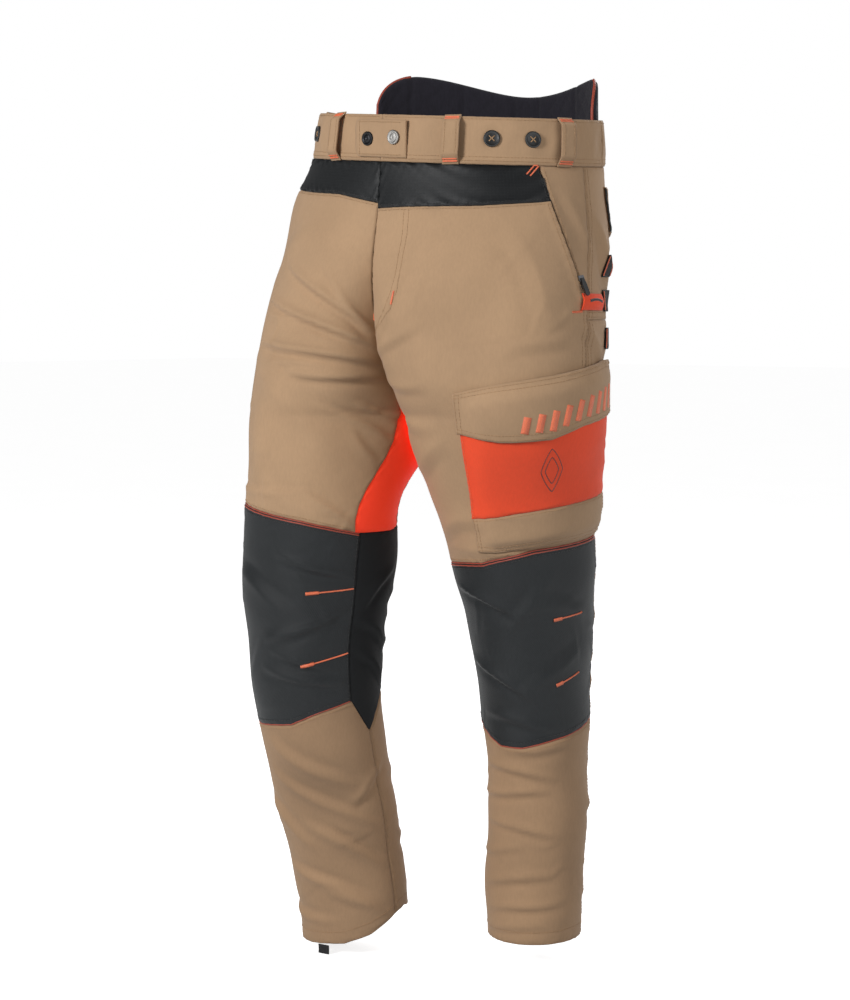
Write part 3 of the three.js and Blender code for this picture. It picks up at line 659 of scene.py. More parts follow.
def stitches(path, normals):
    """A row of stitches: one short four-sided capsule for each step along the path."""
    size, proud = sizes(), 0.15
    centres, up = even(path, normals, size.stitch + size.stitch_gap)
    if len(centres) < 2:
        return np.zeros((0, 3)), np.zeros((0, 4), int)
    tangent = np.gradient(centres, axis=0)
    tangent /= np.linalg.norm(tangent, axis=-1, keepdims=True)
    across = np.cross(tangent, up)
    along_x = np.array([-0.5, -0.4, 0.4, 0.5]) * size.stitch
    radii = np.array([0.35, 1.0, 1.0, 0.35]) * size.thread / 2
    turn = np.arange(4) * np.pi / 2
    x = np.repeat(along_x, 4)
    y = (radii[:, None] * np.cos(turn)[None]).ravel()
    z = (radii[:, None] * np.sin(turn)[None]).ravel() + proud
    points = (centres[:, None] + tangent[:, None] * x[None, :, None]
              + across[:, None] * y[None, :, None] + up[:, None] * z[None, :, None])
    ring = np.arange(4)
    following = (ring + 1) % 4
    bands = [np.stack([ring + k, ring + k + 4, following + k + 4, following + k], -1) for k in (0, 4, 8)]
    template = np.concatenate(bands + [np.array([[0, 1, 2, 3], [15, 14, 13, 12]])])
    faces = (template[None] + 16 * np.arange(len(centres))[:, None, None]).reshape(-1, 4)
    return points.reshape(-1, 3), faces


SEWING = {}


def keep(zone, thread, part):
    """Keeps points and faces for the piece of its body and thread."""
    SEWING.setdefault((zone, thread), []).append(part)


def sew(zone, thread, path, normals):
    """Keeps a row of stitches along a path."""
    keep(zone, thread, stitches(path, normals))


def tack(zone, path, normals, width=2.2, height=1.0):
    """A bartack: a narrow raised bar of close zigzag thread, its ribs a wave along its length."""
    path, normals = even(path, normals, 0.45)
    swell = 1.0 + 0.16 * np.cos(np.arange(len(path)) * np.pi)
    points, faces = swept(path, normals, round_section(1.0) * [width / 2, height])
    rings = points.reshape(-1, 8, 3)
    centre = np.concatenate([path[:1], path, path[-1:]])[:, None]
    scale = np.concatenate([[0.0], swell, [0.0]])[:, None, None]
    keep(zone, "tack", ((centre + (rings - centre) * scale).reshape(-1, 3), faces))


# ---- finishes ------------------------------------------------------------------------------------
class Finish:
    """A material under construction, with one way to add a node."""

    def __init__(self, name, base, roughness, **constants):
        self.material = bpy.data.materials.new(name)
        self.material.use_nodes = True
        self.tree = self.material.node_tree
        self.shader = self.tree.nodes["Principled BSDF"]
        self.colour = base
        self.material.diffuse_color = self.colour
        self.shader.inputs["Base Color"].default_value = self.colour
        self.shader.inputs["Roughness"].default_value = roughness
        for socket, value in constants.items():
            self.shader.inputs[socket.replace("_", " ")].default_value = value

    def node(self, kind, links=(), **settings):
        """Adds a node. Settings starting with in_ fill its inputs by number; links are (input, output)
        pairs. Gives its first output."""
        made = self.tree.nodes.new(kind)
        for key, value in settings.items():
            if key.startswith("in_"):
                made.inputs[int(key[3:])].default_value = value
            else:
                setattr(made, key, value)
        for socket, source in links:
            self.tree.links.new(source, made.inputs[socket])
        return made.outputs[0]

    def maths(self, operation, first, second=0.0):
        """A maths node on two values, each a number or an output."""
        links = [(k, v) for k, v in enumerate((first, second)) if not isinstance(v, (int, float))]
        numbers = {f"in_{k}": v for k, v in enumerate((first, second)) if isinstance(v, (int, float))}
        return self.node("ShaderNodeMath", links, operation=operation, **numbers)

    def noise(self, scale, detail=3.0, stretch=(1.0, 1.0, 1.0), roughness=0.55):
        """Noise by place on the object; scale counts per metre."""
        place = self.tree.nodes.new("ShaderNodeTexCoord").outputs["Object"]
        place = self.node("ShaderNodeMapping", [(0, place)], in_3=stretch)
        return self.node("ShaderNodeTexNoise", [(0, place)], in_2=scale, in_3=detail, in_4=roughness)

    def shade(self, low, high, *, by, first=0.35, last=0.65):
        """A brightness factor that runs from low to high as an output runs from first to last."""
        return self.node("ShaderNodeMapRange", [(0, by)], in_1=first, in_2=last, in_3=low, in_4=high)

    def coloured(self, *factors):
        """Puts the base colour, multiplied by brightness factors, on the shader."""
        total = factors[0]
        for factor in factors[1:]:
            total = self.maths("MULTIPLY", total, factor)
        scaled = self.node("ShaderNodeVectorMath", [("Scale", total)], operation="SCALE",
                           in_0=self.colour[:3])
        self.tree.links.new(scaled, self.shader.inputs["Base Color"])
        return self

    def bumped(self, height, strength, distance):
        """Puts a bump on the shader; distance is the true height in metres."""
        normal = self.node("ShaderNodeBump", [("Height", height)], in_0=strength, in_1=distance)
        self.tree.links.new(normal, self.shader.inputs["Normal"])
        return self


FINISHES = {}


def woven(name, base, roughness, pitch, twill=False, contrast=0.1, wear=0.06, depth=0.25, crinkle=1.0,
          ripstop=0.0,
          **constants):
    """Cloth of crossed threads. Each thread is a sine rib: a plain weave takes the product of the two
    ribs, and a twill one rib running across both. Ripstop adds thicker threads in a square grid of
    that pitch. Larger noise gives uneven dye, and painted shade darkens the cloth along its seams."""
    f = Finish(name, base, roughness, **constants)
    f.node("ShaderNodeSeparateXYZ", [(0, f.node("ShaderNodeUVMap", uv_map="cloth"))])
    split = f.tree.nodes[-1]
    per_metre = 2 * math.pi / (pitch * MM)
    if twill:
        rib = f.maths("ADD", f.maths("MULTIPLY", split.outputs[0], per_metre),
                      f.maths("MULTIPLY", split.outputs[1], per_metre * 0.6))
        weave = f.maths("MULTIPLY", f.maths("ADD", f.maths("SINE", rib), 1.0), 0.5)
    else:
        warp = f.maths("SINE", f.maths("MULTIPLY", split.outputs[0], per_metre))
        weft = f.maths("SINE", f.maths("MULTIPLY", split.outputs[1], per_metre))
        weave = f.maths("ADD", f.maths("MULTIPLY", f.maths("MULTIPLY", warp, weft), 0.5), 0.5)
    if ripstop:
        across = [f.maths("PINGPONG", f.maths("MULTIPLY", split.outputs[k], 1.0 / (ripstop * MM)), 0.5)
                  for k in (0, 1)]
        thick = f.maths("LESS_THAN", f.maths("MINIMUM", *across), 0.1)
        weave = f.maths("MAXIMUM", f.maths("MULTIPLY", weave, 0.6), thick)
    slub = f.noise(420.0, 2.0, (1.0, 1.0, 0.25))
    cloud = f.noise(9.0, 4.0)
    fine = f.noise(60.0, 5.0)
    f.node("ShaderNodeAttribute", attribute_name="seam")
    seam = f.tree.nodes[-1].outputs["Fac"]
    f.coloured(
        f.shade(1 - contrast, 1 + contrast * 0.6, by=weave, first=0.0, last=1.0),
        f.shade(1 - contrast * 0.35, 1 + contrast * 0.35, by=slub),
        f.shade(1 - wear, 1 + wear, by=cloud),
        # Painted shade: up to 12 per cent darker along the seams, by the seam attribute.
        f.shade(1.0, 0.88, by=seam, first=0.0, last=1.0),
    )
    height = f.maths("ADD", f.maths("MULTIPLY", weave, depth), f.maths("MULTIPLY", fine, crinkle))
    return f.bumped(height, 0.45, 0.0006).material


def cloths():
    """How each cloth is made: real name, colour, roughness, pitch of its threads, and the rest for
    woven()."""
    size, hue = sizes(), hues()
    soft = {"Specular_IOR_Level": 0.28, "Sheen_Weight": 0.12, "Sheen_Roughness": 0.5}
    dark = {"Specular_IOR_Level": 0.26, "Sheen_Weight": 0.02, "Sheen_Roughness": 0.4}
    # Painted light: the gusset glows a little in its own colour, so that it stays bright in shade.
    painted_glow = {"Emission_Color": hue.gusset, "Emission_Strength": 0.3}
    return {
        # Piece-dyed polyester and cotton canvas, calendered flat: threads show as a fine even grain.
        "tan": ("tan canvas", hue.tan, 0.82, size.weave, dict(contrast=0.07, **soft)),
        # The same tan canvas, made darker on the lower legs as painted shade, where less light falls.
        "shin": ("brown canvas", hue.shin, 0.82, size.weave, dict(contrast=0.08, **soft)),
        # Filament nylon twill with a slight shine along its ribs.
        "black": ("black nylon twill", hue.black, 0.6, size.twill,
                  dict(twill=True, contrast=0.22, depth=0.5, **dark)),
        # The same nylon calendered smoother, with a checked ripstop thread.
        "yoke": ("black ripstop", hue.yoke, 0.52, size.twill,
                 dict(contrast=0.2, depth=0.5, ripstop=4.0, **dark)),
        # Four-way stretch knit: fine slanting wales, matt.
        "stretch": ("black stretch knit", hue.stretch, 0.85, size.weave,
                    dict(twill=True, contrast=0.16, **dark)),
        # Fluorescent-dyed polyester: bright and even.
        "orange": ("orange canvas", hue.orange, 0.78, size.weave, dict(contrast=0.06, **soft)),
        # The same fluorescent dye in a lighter cloth; a little painted light, given as emission, keeps it
        # bright in the shade between the legs.
        "gusset": ("fluorescent canvas", hue.gusset, 0.8, size.weave, dict(contrast=0.08, **soft, **painted_glow)),
        # Warp-knitted polyester mesh laminated to foam.
        "lining": ("quilted knit", hue.lining, 0.9, size.weave, dict(contrast=0.3, depth=0.6, **soft)),
        # Layered cut-protection fibres behind a warp-knitted cover.
        "felt": ("protection felt", linear("C9C4B6"), 0.95, size.weave,
                 dict(contrast=0.2, depth=0.6, **soft)),
        # Thin plain-woven polyester and cotton, dyed dark.
        "pocketing": ("pocketing", linear("3A3A3C"), 0.9, size.weave, dict(contrast=0.1, **soft)),
        # Narrow woven tape with ribs across it.
        "webbing": ("black webbing", linear("1B1B1D"), 0.7, size.twill,
                    dict(contrast=0.35, depth=0.9, **dark)),
    }


def solids():
    """How each thread, metal and plastic is made: real name, colour, roughness, metal, grain per metre,
    depth."""
    hue = hues()
    return {
        # Spun polyester thread, bonded smooth.
        "thread_tan": ("tan polyester thread", hue.thread, 0.6, 0.0, 2500.0, 0.25),
        "thread_black": ("black polyester thread", linear("1A1B1C"), 0.55, 0.0, 2500.0, 0.25),
        # Trilobal embroidery thread, laid close by a zigzag machine.
        "tack": ("bartack thread", hue.tack, 0.5, 0.0, 2200.0, 0.25),
        # Bias strip folded over a filler cord.
        "piping": ("piped cord", hue.piping, 0.55, 0.0, 1500.0, 0.3),
        # Injection-moulded nylon with a fine spark-eroded grain.
        "plastic": ("moulded nylon", linear("18191A"), 0.42, 0.0, 1800.0, 0.12),
        # Black oxide over brass, rubbed a little on the high places.
        "stud_black": ("black oxide brass", linear("232325"), 0.36, 0.85, 900.0, 0.15),
        # Turned and tumbled nickel plate.
        "stud_metal": ("nickel plate", linear("8F8D8A"), 0.5, 1.0, 900.0, 0.1),
        # Die-cast zinc, plated dark.
        "zip_metal": ("dark plated zinc", linear("5A5A5C"), 0.34, 1.0, 900.0, 0.15),
        # Acetal moulded straight onto the tape.
        "tooth": ("moulded acetal", linear("222324"), 0.4, 0.0, 1500.0, 0.15),
        # Soft rubbery plastic moulded round a cord, with a matt mould face.
        "puller": ("soft moulded plastic", linear("151617"), 0.45, 0.0, 1500.0, 0.2),
    }


def finish(kind):
    """The finish of that kind, made once."""
    if kind in FINISHES:
        return FINISHES[kind]
    if kind in cloths():
        name, base, roughness, pitch, rest = cloths()[kind]
        FINISHES[kind] = woven(name, base, roughness, pitch, **rest)
        return FINISHES[kind]
    name, base, roughness, metal, grain, depth = solids()[kind]
    f = Finish(name, base, roughness, Metallic=metal)
    small, wide = f.noise(grain, 2.0), f.noise(70.0, 3.0)
    f.coloured(f.shade(1 - depth, 1 + depth, by=small), f.shade(0.93, 1.07, by=wide))
    f.tree.links.new(f.shade(roughness - 0.06, roughness + 0.08, by=wide), f.shader.inputs["Roughness"])
    f.bumped(small, 0.35, 0.0002)
    FINISHES[kind] = f.material
    return f.material


# ---- lines on the pattern ------------------------------------------------------------------------
# The zip shows between two welts, each this far in u from the pocket line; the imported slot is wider.
WELT = 0.0014


def slant(z):
    """u of the slanted pocket opening at height z."""
    z = np.asarray(z, float)
    straight = 0.365 + (-74.0 - z) / 146.0 * 0.12
    return np.where(z > -220.0, straight, np.minimum(0.5, 0.485 + (-220.0 - z) * 0.0008))


def pocket_line(z):
    """u of the pocket line, run on below the zip into the side seam."""
    share = smooth((-210.0 - np.asarray(z, float)) / 34.0)
    return slant(z) + (0.5 + WELT - slant(z)) * share


def welt_lift(u, z, height):
    """The cloth beside the pocket line rises over the zip within 16 mm of it."""
    return height * smooth(1.0 - np.abs(u - slant(z)) * GIRTH_PER_U / 16.0) * smooth((z + 250.0) / 20.0)


def gusset_front(z):
    """u of the front gusset seam at height z."""
    return 0.06 * np.clip((-325.0 - np.asarray(z, float)) / 45.0, 0.0, 1.0)


def gusset_back(z):
    """u of the back gusset seam at height z."""
    return 1.0 - 0.095 * np.clip((-360.0 - np.asarray(z, float)) / 10.0, 0.0, 1.0)


def gusset_top(u):
    """Height of the gusset's pointed top at u."""
    u = np.asarray(u, float)
    u = np.where(u > 0.5, u - 1.0, u)
    return np.where(u <= 0, -365.0, np.minimum(-365.0 + 1000.0 * u, -326.0 - 750.0 * u))


CUTS = {}
SEAT_SEAM = -250.0
FLAP_TOP = [(0, -336), (0.26, -335), (0.325, -325), (0.43, -313), (0.55, -297), (1, -297)]
FLAP_FOOT = [(0, -382), (0.27, -382), (0.34, -387), (0.42, -385), (0.48, -371), (0.6, -357), (1, -357)]
ORANGE_FOOT = [(0, -484), (0.27, -484), (0.36, -474), (0.45, -466), (0.603, -454), (1, -454)]
POCKET_FOOT = [(0, -524), (0.3, -524), (0.59, -505), (1, -505)]


def pocket_lift(u, z):
    """How far the cargo pocket's front stands off the cloth: it swells from every edge over a soft box."""
    swell = (smooth((u - 0.265) / 0.05) * smooth((0.605 - u) / 0.03)
             * smooth((seam_at(FLAP_TOP, u) - z) / 22.0) * smooth((z - seam_at(POCKET_FOOT, u)) / 16.0))
    return 1.2 + (7.0 - 2.5 * smooth((u - 0.45) / 0.12)) * swell


def cross_seam(points):
    """A cross seam's height as a function of u."""
    return lambda u: seam_at(points, u)


def plan_half(h):
    """Lays out the cut pieces of one half: two u edges, two cross seams and the height over the cloth."""
    yoke, knee, shin, hem = (cross_seam(table[h]) for table in (YOKE_FOOT, KNEE_TOP, KNEE_FOOT, HEM))
    band = lambda u: band_foot(h, u)
    before_zip, behind_zip = (lambda z: pocket_line(z) - WELT), (lambda z: pocket_line(z) + WELT)
    plan = {
        "front_yoke": (0.0, before_zip, yoke, band, lambda u, z: 0.4 + welt_lift(u, z, 1.6)),
        "front_panel": (gusset_front, before_zip, knee, yoke, lambda u, z: welt_lift(u, z, 2.4)),
        "hip_facing": (behind_zip, 0.5, -234.0, band, lambda u, z: welt_lift(u, z, 1.4)),
        "seat_panel": (0.5, 1.0, SEAT_SEAM, band, 0.0),
        "back_thigh": (0.5, gusset_back, knee, SEAT_SEAM, 0.0),
        "thigh_gusset": (-0.0945, 0.06, knee, gusset_top, -0.6),
        "knee_panel": (0.048, 0.6, shin, knee, 0.2),
        "knee_inner": (-0.17, 0.048, shin, knee, 0.0),
        "knee_back": (0.6, 0.83, shin, knee, 0.0),
        "shin_front": (0.0, 0.6, hem, shin, 0.0),
        "calf_back": (0.6, 1.0, hem, shin, 0.0),
    }
    for name, edges in plan.items():
        # The yoke is soft and crumples most along its seams.
        CUTS[name, h] = Cut(h, *edges, pucker=1.0 if name == "front_yoke" else 0.35)
    CUTS["waistband", h] = Cut(h, 0.0, 0.6, band, lambda u: waist_top(h, u), lambda u, z: band_lift(h, u, z),
                               valley=0.9)


def plan_cuts():
    """Lays out every cut piece of cloth on the worn shape, and empties the sewing basket."""
    CUTS.clear()
    SEWING.clear()
    FOLDS[:] = all_folds()
    for h in HALVES:
        plan_half(h)


def band_lift(h, u, z):
    """The band stands a little proud, rounds over between its edges and dips along its lower fold."""
    v = (z - band_foot(h, u)) / sizes().band_height
    dip = -0.9 * np.exp(-(((v - 0.19) / 0.035) ** 2))
    slack = 0.7 * np.sin(u * 61.0 + v * 2.1) + 0.5 * np.sin(u * 97.0 - v * 3.3 + 1.0)
    arch = np.sin(np.pi * np.clip(v, 0, 1))
    return 1.6 + 1.8 * arch**0.8 + dip + slack * arch


def cloth_piece(part, h, kind, zone, slot, **more):
    """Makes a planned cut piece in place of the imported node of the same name."""
    name = f"{part}_{h}"
    return CUTS[part, h].make(name + "_cloth", kind, zone, slot, (name,), **more)


# ---- operators -----------------------------------------------------------------------------------
class Maker(bpy.types.Operator):
    """Base of the makers: runs build() and fails loudly if it can't finish."""

    bl_options = {"REGISTER", "UNDO"}

    def execute(self, context):
        """Builds the piece or group of pieces on the planned cloth."""
        if not CUTS:
            plan_cuts()
        self.build()
        return {"FINISHED"}


class TROUSERS_OT_canvas(Maker):
    """Thighs, seat, hip facings and lower legs in tan canvas"""

    bl_idname = "trousers.canvas"
    bl_label = "Canvas panels"

    def build(self):
        """Makes the canvas panels of both halves."""
        for h in HALVES:
            for part in ("front_panel", "hip_facing", "seat_panel", "back_thigh"):
                cloth_piece(part, h, "tan", ROOT, "canvas_tan")
            # The lower legs take the tan canvas in its darker, painted-shade colour.
            for part in ("shin_front", "calf_back"):
                cloth_piece(part, h, "shin", "shin_" + h, "canvas_brown")
            cloth_piece("knee_back", h, "shin", "knee_" + h, "canvas_brown")


class TROUSERS_OT_dark_panels(Maker):
    """Yokes, knee panels and the stretch panels inside the knees"""

    bl_idname = "trousers.dark_panels"
    bl_label = "Dark panels"

    def build(self):
        """Makes the black panels of both halves."""
        for h in HALVES:
            cloth_piece("front_yoke", h, "yoke", ROOT, "ripstop_black")
            cloth_piece("knee_panel", h, "black", "knee_" + h, "ripstop_black")
            cloth_piece("knee_inner", h, "stretch", "knee_" + h, "stretch_black")


class TROUSERS_OT_gussets(Maker):
    """Orange gussets on the inner thighs"""

    bl_idname = "trousers.gussets"
    bl_label = "Gussets"

    def build(self):
        """Makes the two gussets."""
        for h in HALVES:
            cloth_piece("thigh_gusset", h, "gusset", ROOT, "canvas_orange")


# The waistband is folded double over its stiffening.
BAND_CLOTH = 2.6


class TROUSERS_OT_waistband(Maker):
    """Waistband in three lengths with seven belt loops"""

    bl_idname = "trousers.waistband"
    bl_label = "Waistband and belt loops"

    def build(self):
        """The band follows the top of each half; a loop is a strip that rises off the band and comes back."""
        for h in HALVES:
            cloth_piece("waistband", h, "tan", ROOT, "canvas_tan", cloth=BAND_CLOTH)
        self.back_band()
        places = {"front": {"left": 0.165, "right": 0.128}, "side": 0.43, "back": 0.8}
        for h in HALVES:
            for name, at in places.items():
                u = at[h] if isinstance(at, dict) else at
                self.loop(f"belt_loop_{name}_{h}", h, u)
        self.loop("belt_loop_centre_back", "left", 1.0)

    def back_band(self):
        """The band round the back: share b runs from -0.4 on the right to 0.4 on the left, 0 at the
        centre."""
        b = np.linspace(-0.399, 0.399, 150)
        v = spread(sizes().band_height, 6.0)
        outer, normals = [], []
        for h, sign in (("right", -1), ("left", 1)):
            some = b[b < 0] if sign < 0 else b[b >= 0]
            u = 1.0 - np.abs(some)
            top, foot = waist_top(h, u)[None], band_foot(h, u)[None]
            z = foot + (top - foot) * v[:, None]
            near = np.minimum(v, 1 - v)[:, None] * sizes().band_height + 0 * z
            points, normal = on_cloth(h, u[None] + 0 * z, z,
                                      band_lift(h, u[None] + 0 * z, z) - 0.9 * np.exp(-((near / 1.7) ** 2)))
            outer.append(points)
            normals.append(normal)
        outer, normals = np.concatenate(outer, 1), np.concatenate(normals, 1)
        near = np.minimum(v, 1 - v)[:, None] * sizes().band_height + 0 * outer[..., 0]
        # The band's seam attribute paints shade along its edges.
        piece, uv = shell("waistband_back_cloth", outer, normals, BAND_CLOTH, np.exp(-near / 3.0), "tan",
                          ROOT,
                          ("waistband_back",))
        self.band_rows(outer, normals, v)

    def band_rows(self, outer, normals, v):
        """Topstitching along both edges of the back band."""
        for inset in (3.0, sizes().band_height - 3.5, 8.0):
            row = int(np.argmin(np.abs(v * sizes().band_height - inset)))
            sew(ROOT, "thread_tan", outer[row], normals[row])

    def loop(self, name, h, u):
        """One belt loop, 20 mm wide, sewn down at both ends."""
        speed = float(np.linalg.norm(surface(h, u + 0.005, -30.0) - surface(h, u - 0.005, -30.0))) / 0.01
        half_u = 10.0 / speed
        top = float(waist_top(h, u)) + 1.5
        foot = top - 59.0
        length_v = top - foot

        def rise(_, z):
            """Up off the band within 9 mm of an end, then nearly straight with a slight sag."""
            s = (z - foot) / length_v
            edge = np.minimum(s, 1 - s) * length_v
            return 2.9 + 9.0 * smooth(edge / 11.0) + 0.6 * np.sin(np.pi * s)

        cut = Cut(h, u - half_u, u + half_u, foot, top, lift=rise, spacing=2.2, valley=0.4, pucker=0.1)
        cut.make(name + "_cloth", "tan", ROOT, "canvas_tan", (name,), cloth=2.0)
        for end in (0.05, 0.95):
            run = np.linspace(0.06, 0.94, 24)
            tack(ROOT, *cut.sample(run, end + 0 * run))
            tack(ROOT, *cut.sample(run, end + (0.035 if end < 0.5 else -0.035) + 0 * run), width=1.6)
        for edge in ("left", "right"):
            sew(ROOT, "thread_tan", *cut.edge_line(edge, 3.4, (0.08, 0.92)))


class TROUSERS_OT_waist_tab(Maker):
    """Front tab with its two studs, swinging about its root"""

    bl_idname = "trousers.waist_tab"
    bl_label = "Waist tab"

    @staticmethod
    def face(x):
        """y of the tab's front face: 6 mm before the band at each x."""
        u, z = np.abs(x) / 590.0, -34.0 + 0 * x
        return np.where(x < 0, surface("right", u, z)[..., 1], surface("left", u, z)[..., 1]) - 6.6

    def build(self):
        """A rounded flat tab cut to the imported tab's box, tipped by the slope of the waist."""
        low, high = (np.array(c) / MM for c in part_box("waist_tab"))
        slope = WAIST_SLOPE[0]
        width = high[0] - low[0]
        x = np.linspace(low[0], high[0], 40)
        v = np.array([0, 0.03, 0.07, 0.13, 0.25, 0.4, 0.5, 0.6, 0.75, 0.87, 0.93, 0.97, 1.0])
        run = (x - low[0]) / width
        tall = (high[2] - low[2]) - abs(slope) * width
        corner = 9.0
        near = np.clip((corner - (x - low[0])) / corner, 0, 1)
        trim = corner * (1 - np.sqrt(np.clip(1 - near**2, 0, 1)))
        mid_z = 0.5 * (low[2] + high[2]) + slope * (x - 0.5 * (low[0] + high[0]))
        height = (tall - 2 * trim)[None] * (v - 0.5)[:, None]
        z = mid_z[None] + height
        edge = np.minimum(np.minimum(v, 1 - v)[:, None] * tall, (x - low[0])[None] + 0 * z)
        y = self.face(x)[None] + 0.7 * np.exp(-((edge / 1.8) ** 2)) - 0.5 * np.sin(7.0 * run)[None] + 0 * z
        outer = np.stack([x[None] + 0 * z, y, z], -1)
        normals = np.zeros_like(outer)
        normals[..., 1] = -1.0
        # The tab's seam attribute paints shade round its edges.
        piece, _ = shell("waist_tab_cloth", outer, normals, 2.4, np.exp(-edge / 3.0), "tan", "waist_tab",
                         ("waist_tab",))
        for row in (2, -3):
            path = outer[row, 3:-3]
            sew("waist_tab", "thread_tan", path, normals[row, 3:-3])
        sew("waist_tab", "thread_tan", outer[2:-2, 4], normals[2:-2, 4])
        for name, kind in (("tab_stud_outer", "stud_black"), ("tab_stud_inner", "stud_metal")):
            low_s, high_s = (np.array(c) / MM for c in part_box(name))
            centre = 0.5 * (low_s + high_s)
            centre[1] = self.face(centre[:1])[0] - 0.4
            turned(name + "_cap", centre, np.array([0.0, -1.0, 0.0]), STUD, "waist_tab", kind, (name,))


# Outlines to be turned, as (radius, height) pairs from the back rim to the middle of the face.
STUD = [(0, 0), (8.0, 0), (8.5, 0.5), (8.6, 1.2), (8.2, 2.0), (7.3, 2.5), (6.6, 2.45), (6.2, 2.0),
        (5.2, 1.75),
        (3.9, 1.9), (3.4, 2.3), (2.6, 2.5), (1.4, 2.45), (0.9, 2.1), (0, 2.0)]
BUTTON = [(0, 0), (9.2, 0), (9.8, 0.5), (10.0, 1.4), (9.7, 2.4), (8.9, 2.9), (8.0, 2.8), (7.3, 2.2),
          (6.2, 1.8),
          (0, 1.8)]


def turned(name, centre, axis, outline, body, kind, replaces, sides=40):
    """A turned piece: the outline swept round the axis, its ends drawn to single points."""
    axis = axis / np.linalg.norm(axis)
    first = np.cross(axis, [0.0, 0.0, 1.0])
    first /= np.linalg.norm(first)
    second = np.cross(axis, first)
    outline = np.array(outline, float)
    turn = np.linspace(0, 2 * np.pi, sides, endpoint=False)
    ring = np.cos(turn)[:, None] * first + np.sin(turn)[:, None] * second
    points = centre + outline[:, None, :1] * ring[None] + outline[:, None, 1:] * axis
    rows = len(outline)
    index = np.arange(rows * sides).reshape(rows, sides)
    following = np.roll(index, -1, axis=1)
    faces = np.stack([index[:-1], index[1:], following[1:], following[:-1]], -1).reshape(-1, 4)
    piece = new_piece(name, points, faces[:, ::-1])
    weld(piece)
    return finish_piece(piece, finish(kind), body, replaces)


def weld(piece, distance=0.00001):
    """Merges points that lie on one another, so that poles are closed."""
    mesh = bmesh.new()
    mesh.from_mesh(piece.data)
    bmesh.ops.remove_doubles(mesh, verts=mesh.verts, dist=distance)
    bmesh.ops.recalc_face_normals(mesh, faces=mesh.faces)
    mesh.to_mesh(piece.data)
    mesh.free()


class TROUSERS_OT_buttons(Maker):
    """Four four-hole brace buttons on the waistband"""

    bl_idname = "trousers.buttons"
    bl_label = "Brace buttons"

    def build(self):
        """Each button sits on the band, tied by two crossed threads."""
        for h in HALVES:
            for number, u in ((1, 0.25), (2, 0.343)):
                z = float(waist_top(h, u)) - 26.0
                points, normals = on_cloth(h, np.array([u]), np.array([z]), 3.0)
                centre, axis = points[0], normals[0]
                name = f"brace_button_{h}_{number}"
                turned(name + "_turned", centre, axis, BUTTON, ROOT, "plastic", (name,))
                self.tie(centre, axis)

    def tie(self, centre, axis):
        """Two pale threads that cross the button's middle, over a small pad of thread."""
        across = np.cross(axis, [0.0, 0.0, 1.0])
        across /= np.linalg.norm(across)
        up = np.cross(across, axis)
        for a, b in (((-3.2, -3.2), (3.2, 3.2)), ((-3.2, 3.2), (3.2, -3.2))):
            t = np.linspace(0, 1, 14)[:, None]
            flat = (1 - t) * (across * a[0] + up * a[1]) + t * (across * b[0] + up * b[1])
            path = centre + flat + axis * (1.7 + 0.9 * np.sin(np.pi * t) ** 0.5)
            tack_path(ROOT, path, np.repeat(axis[None], 14, 0), 1.2, 0.5, "thread_pale")


def tack_path(zone, path, normals, width, height, thread):
    """A smooth run of thread along a path."""
    keep(zone, thread, swept(path, normals, round_section(1.0, 6) * [width / 2, height]))


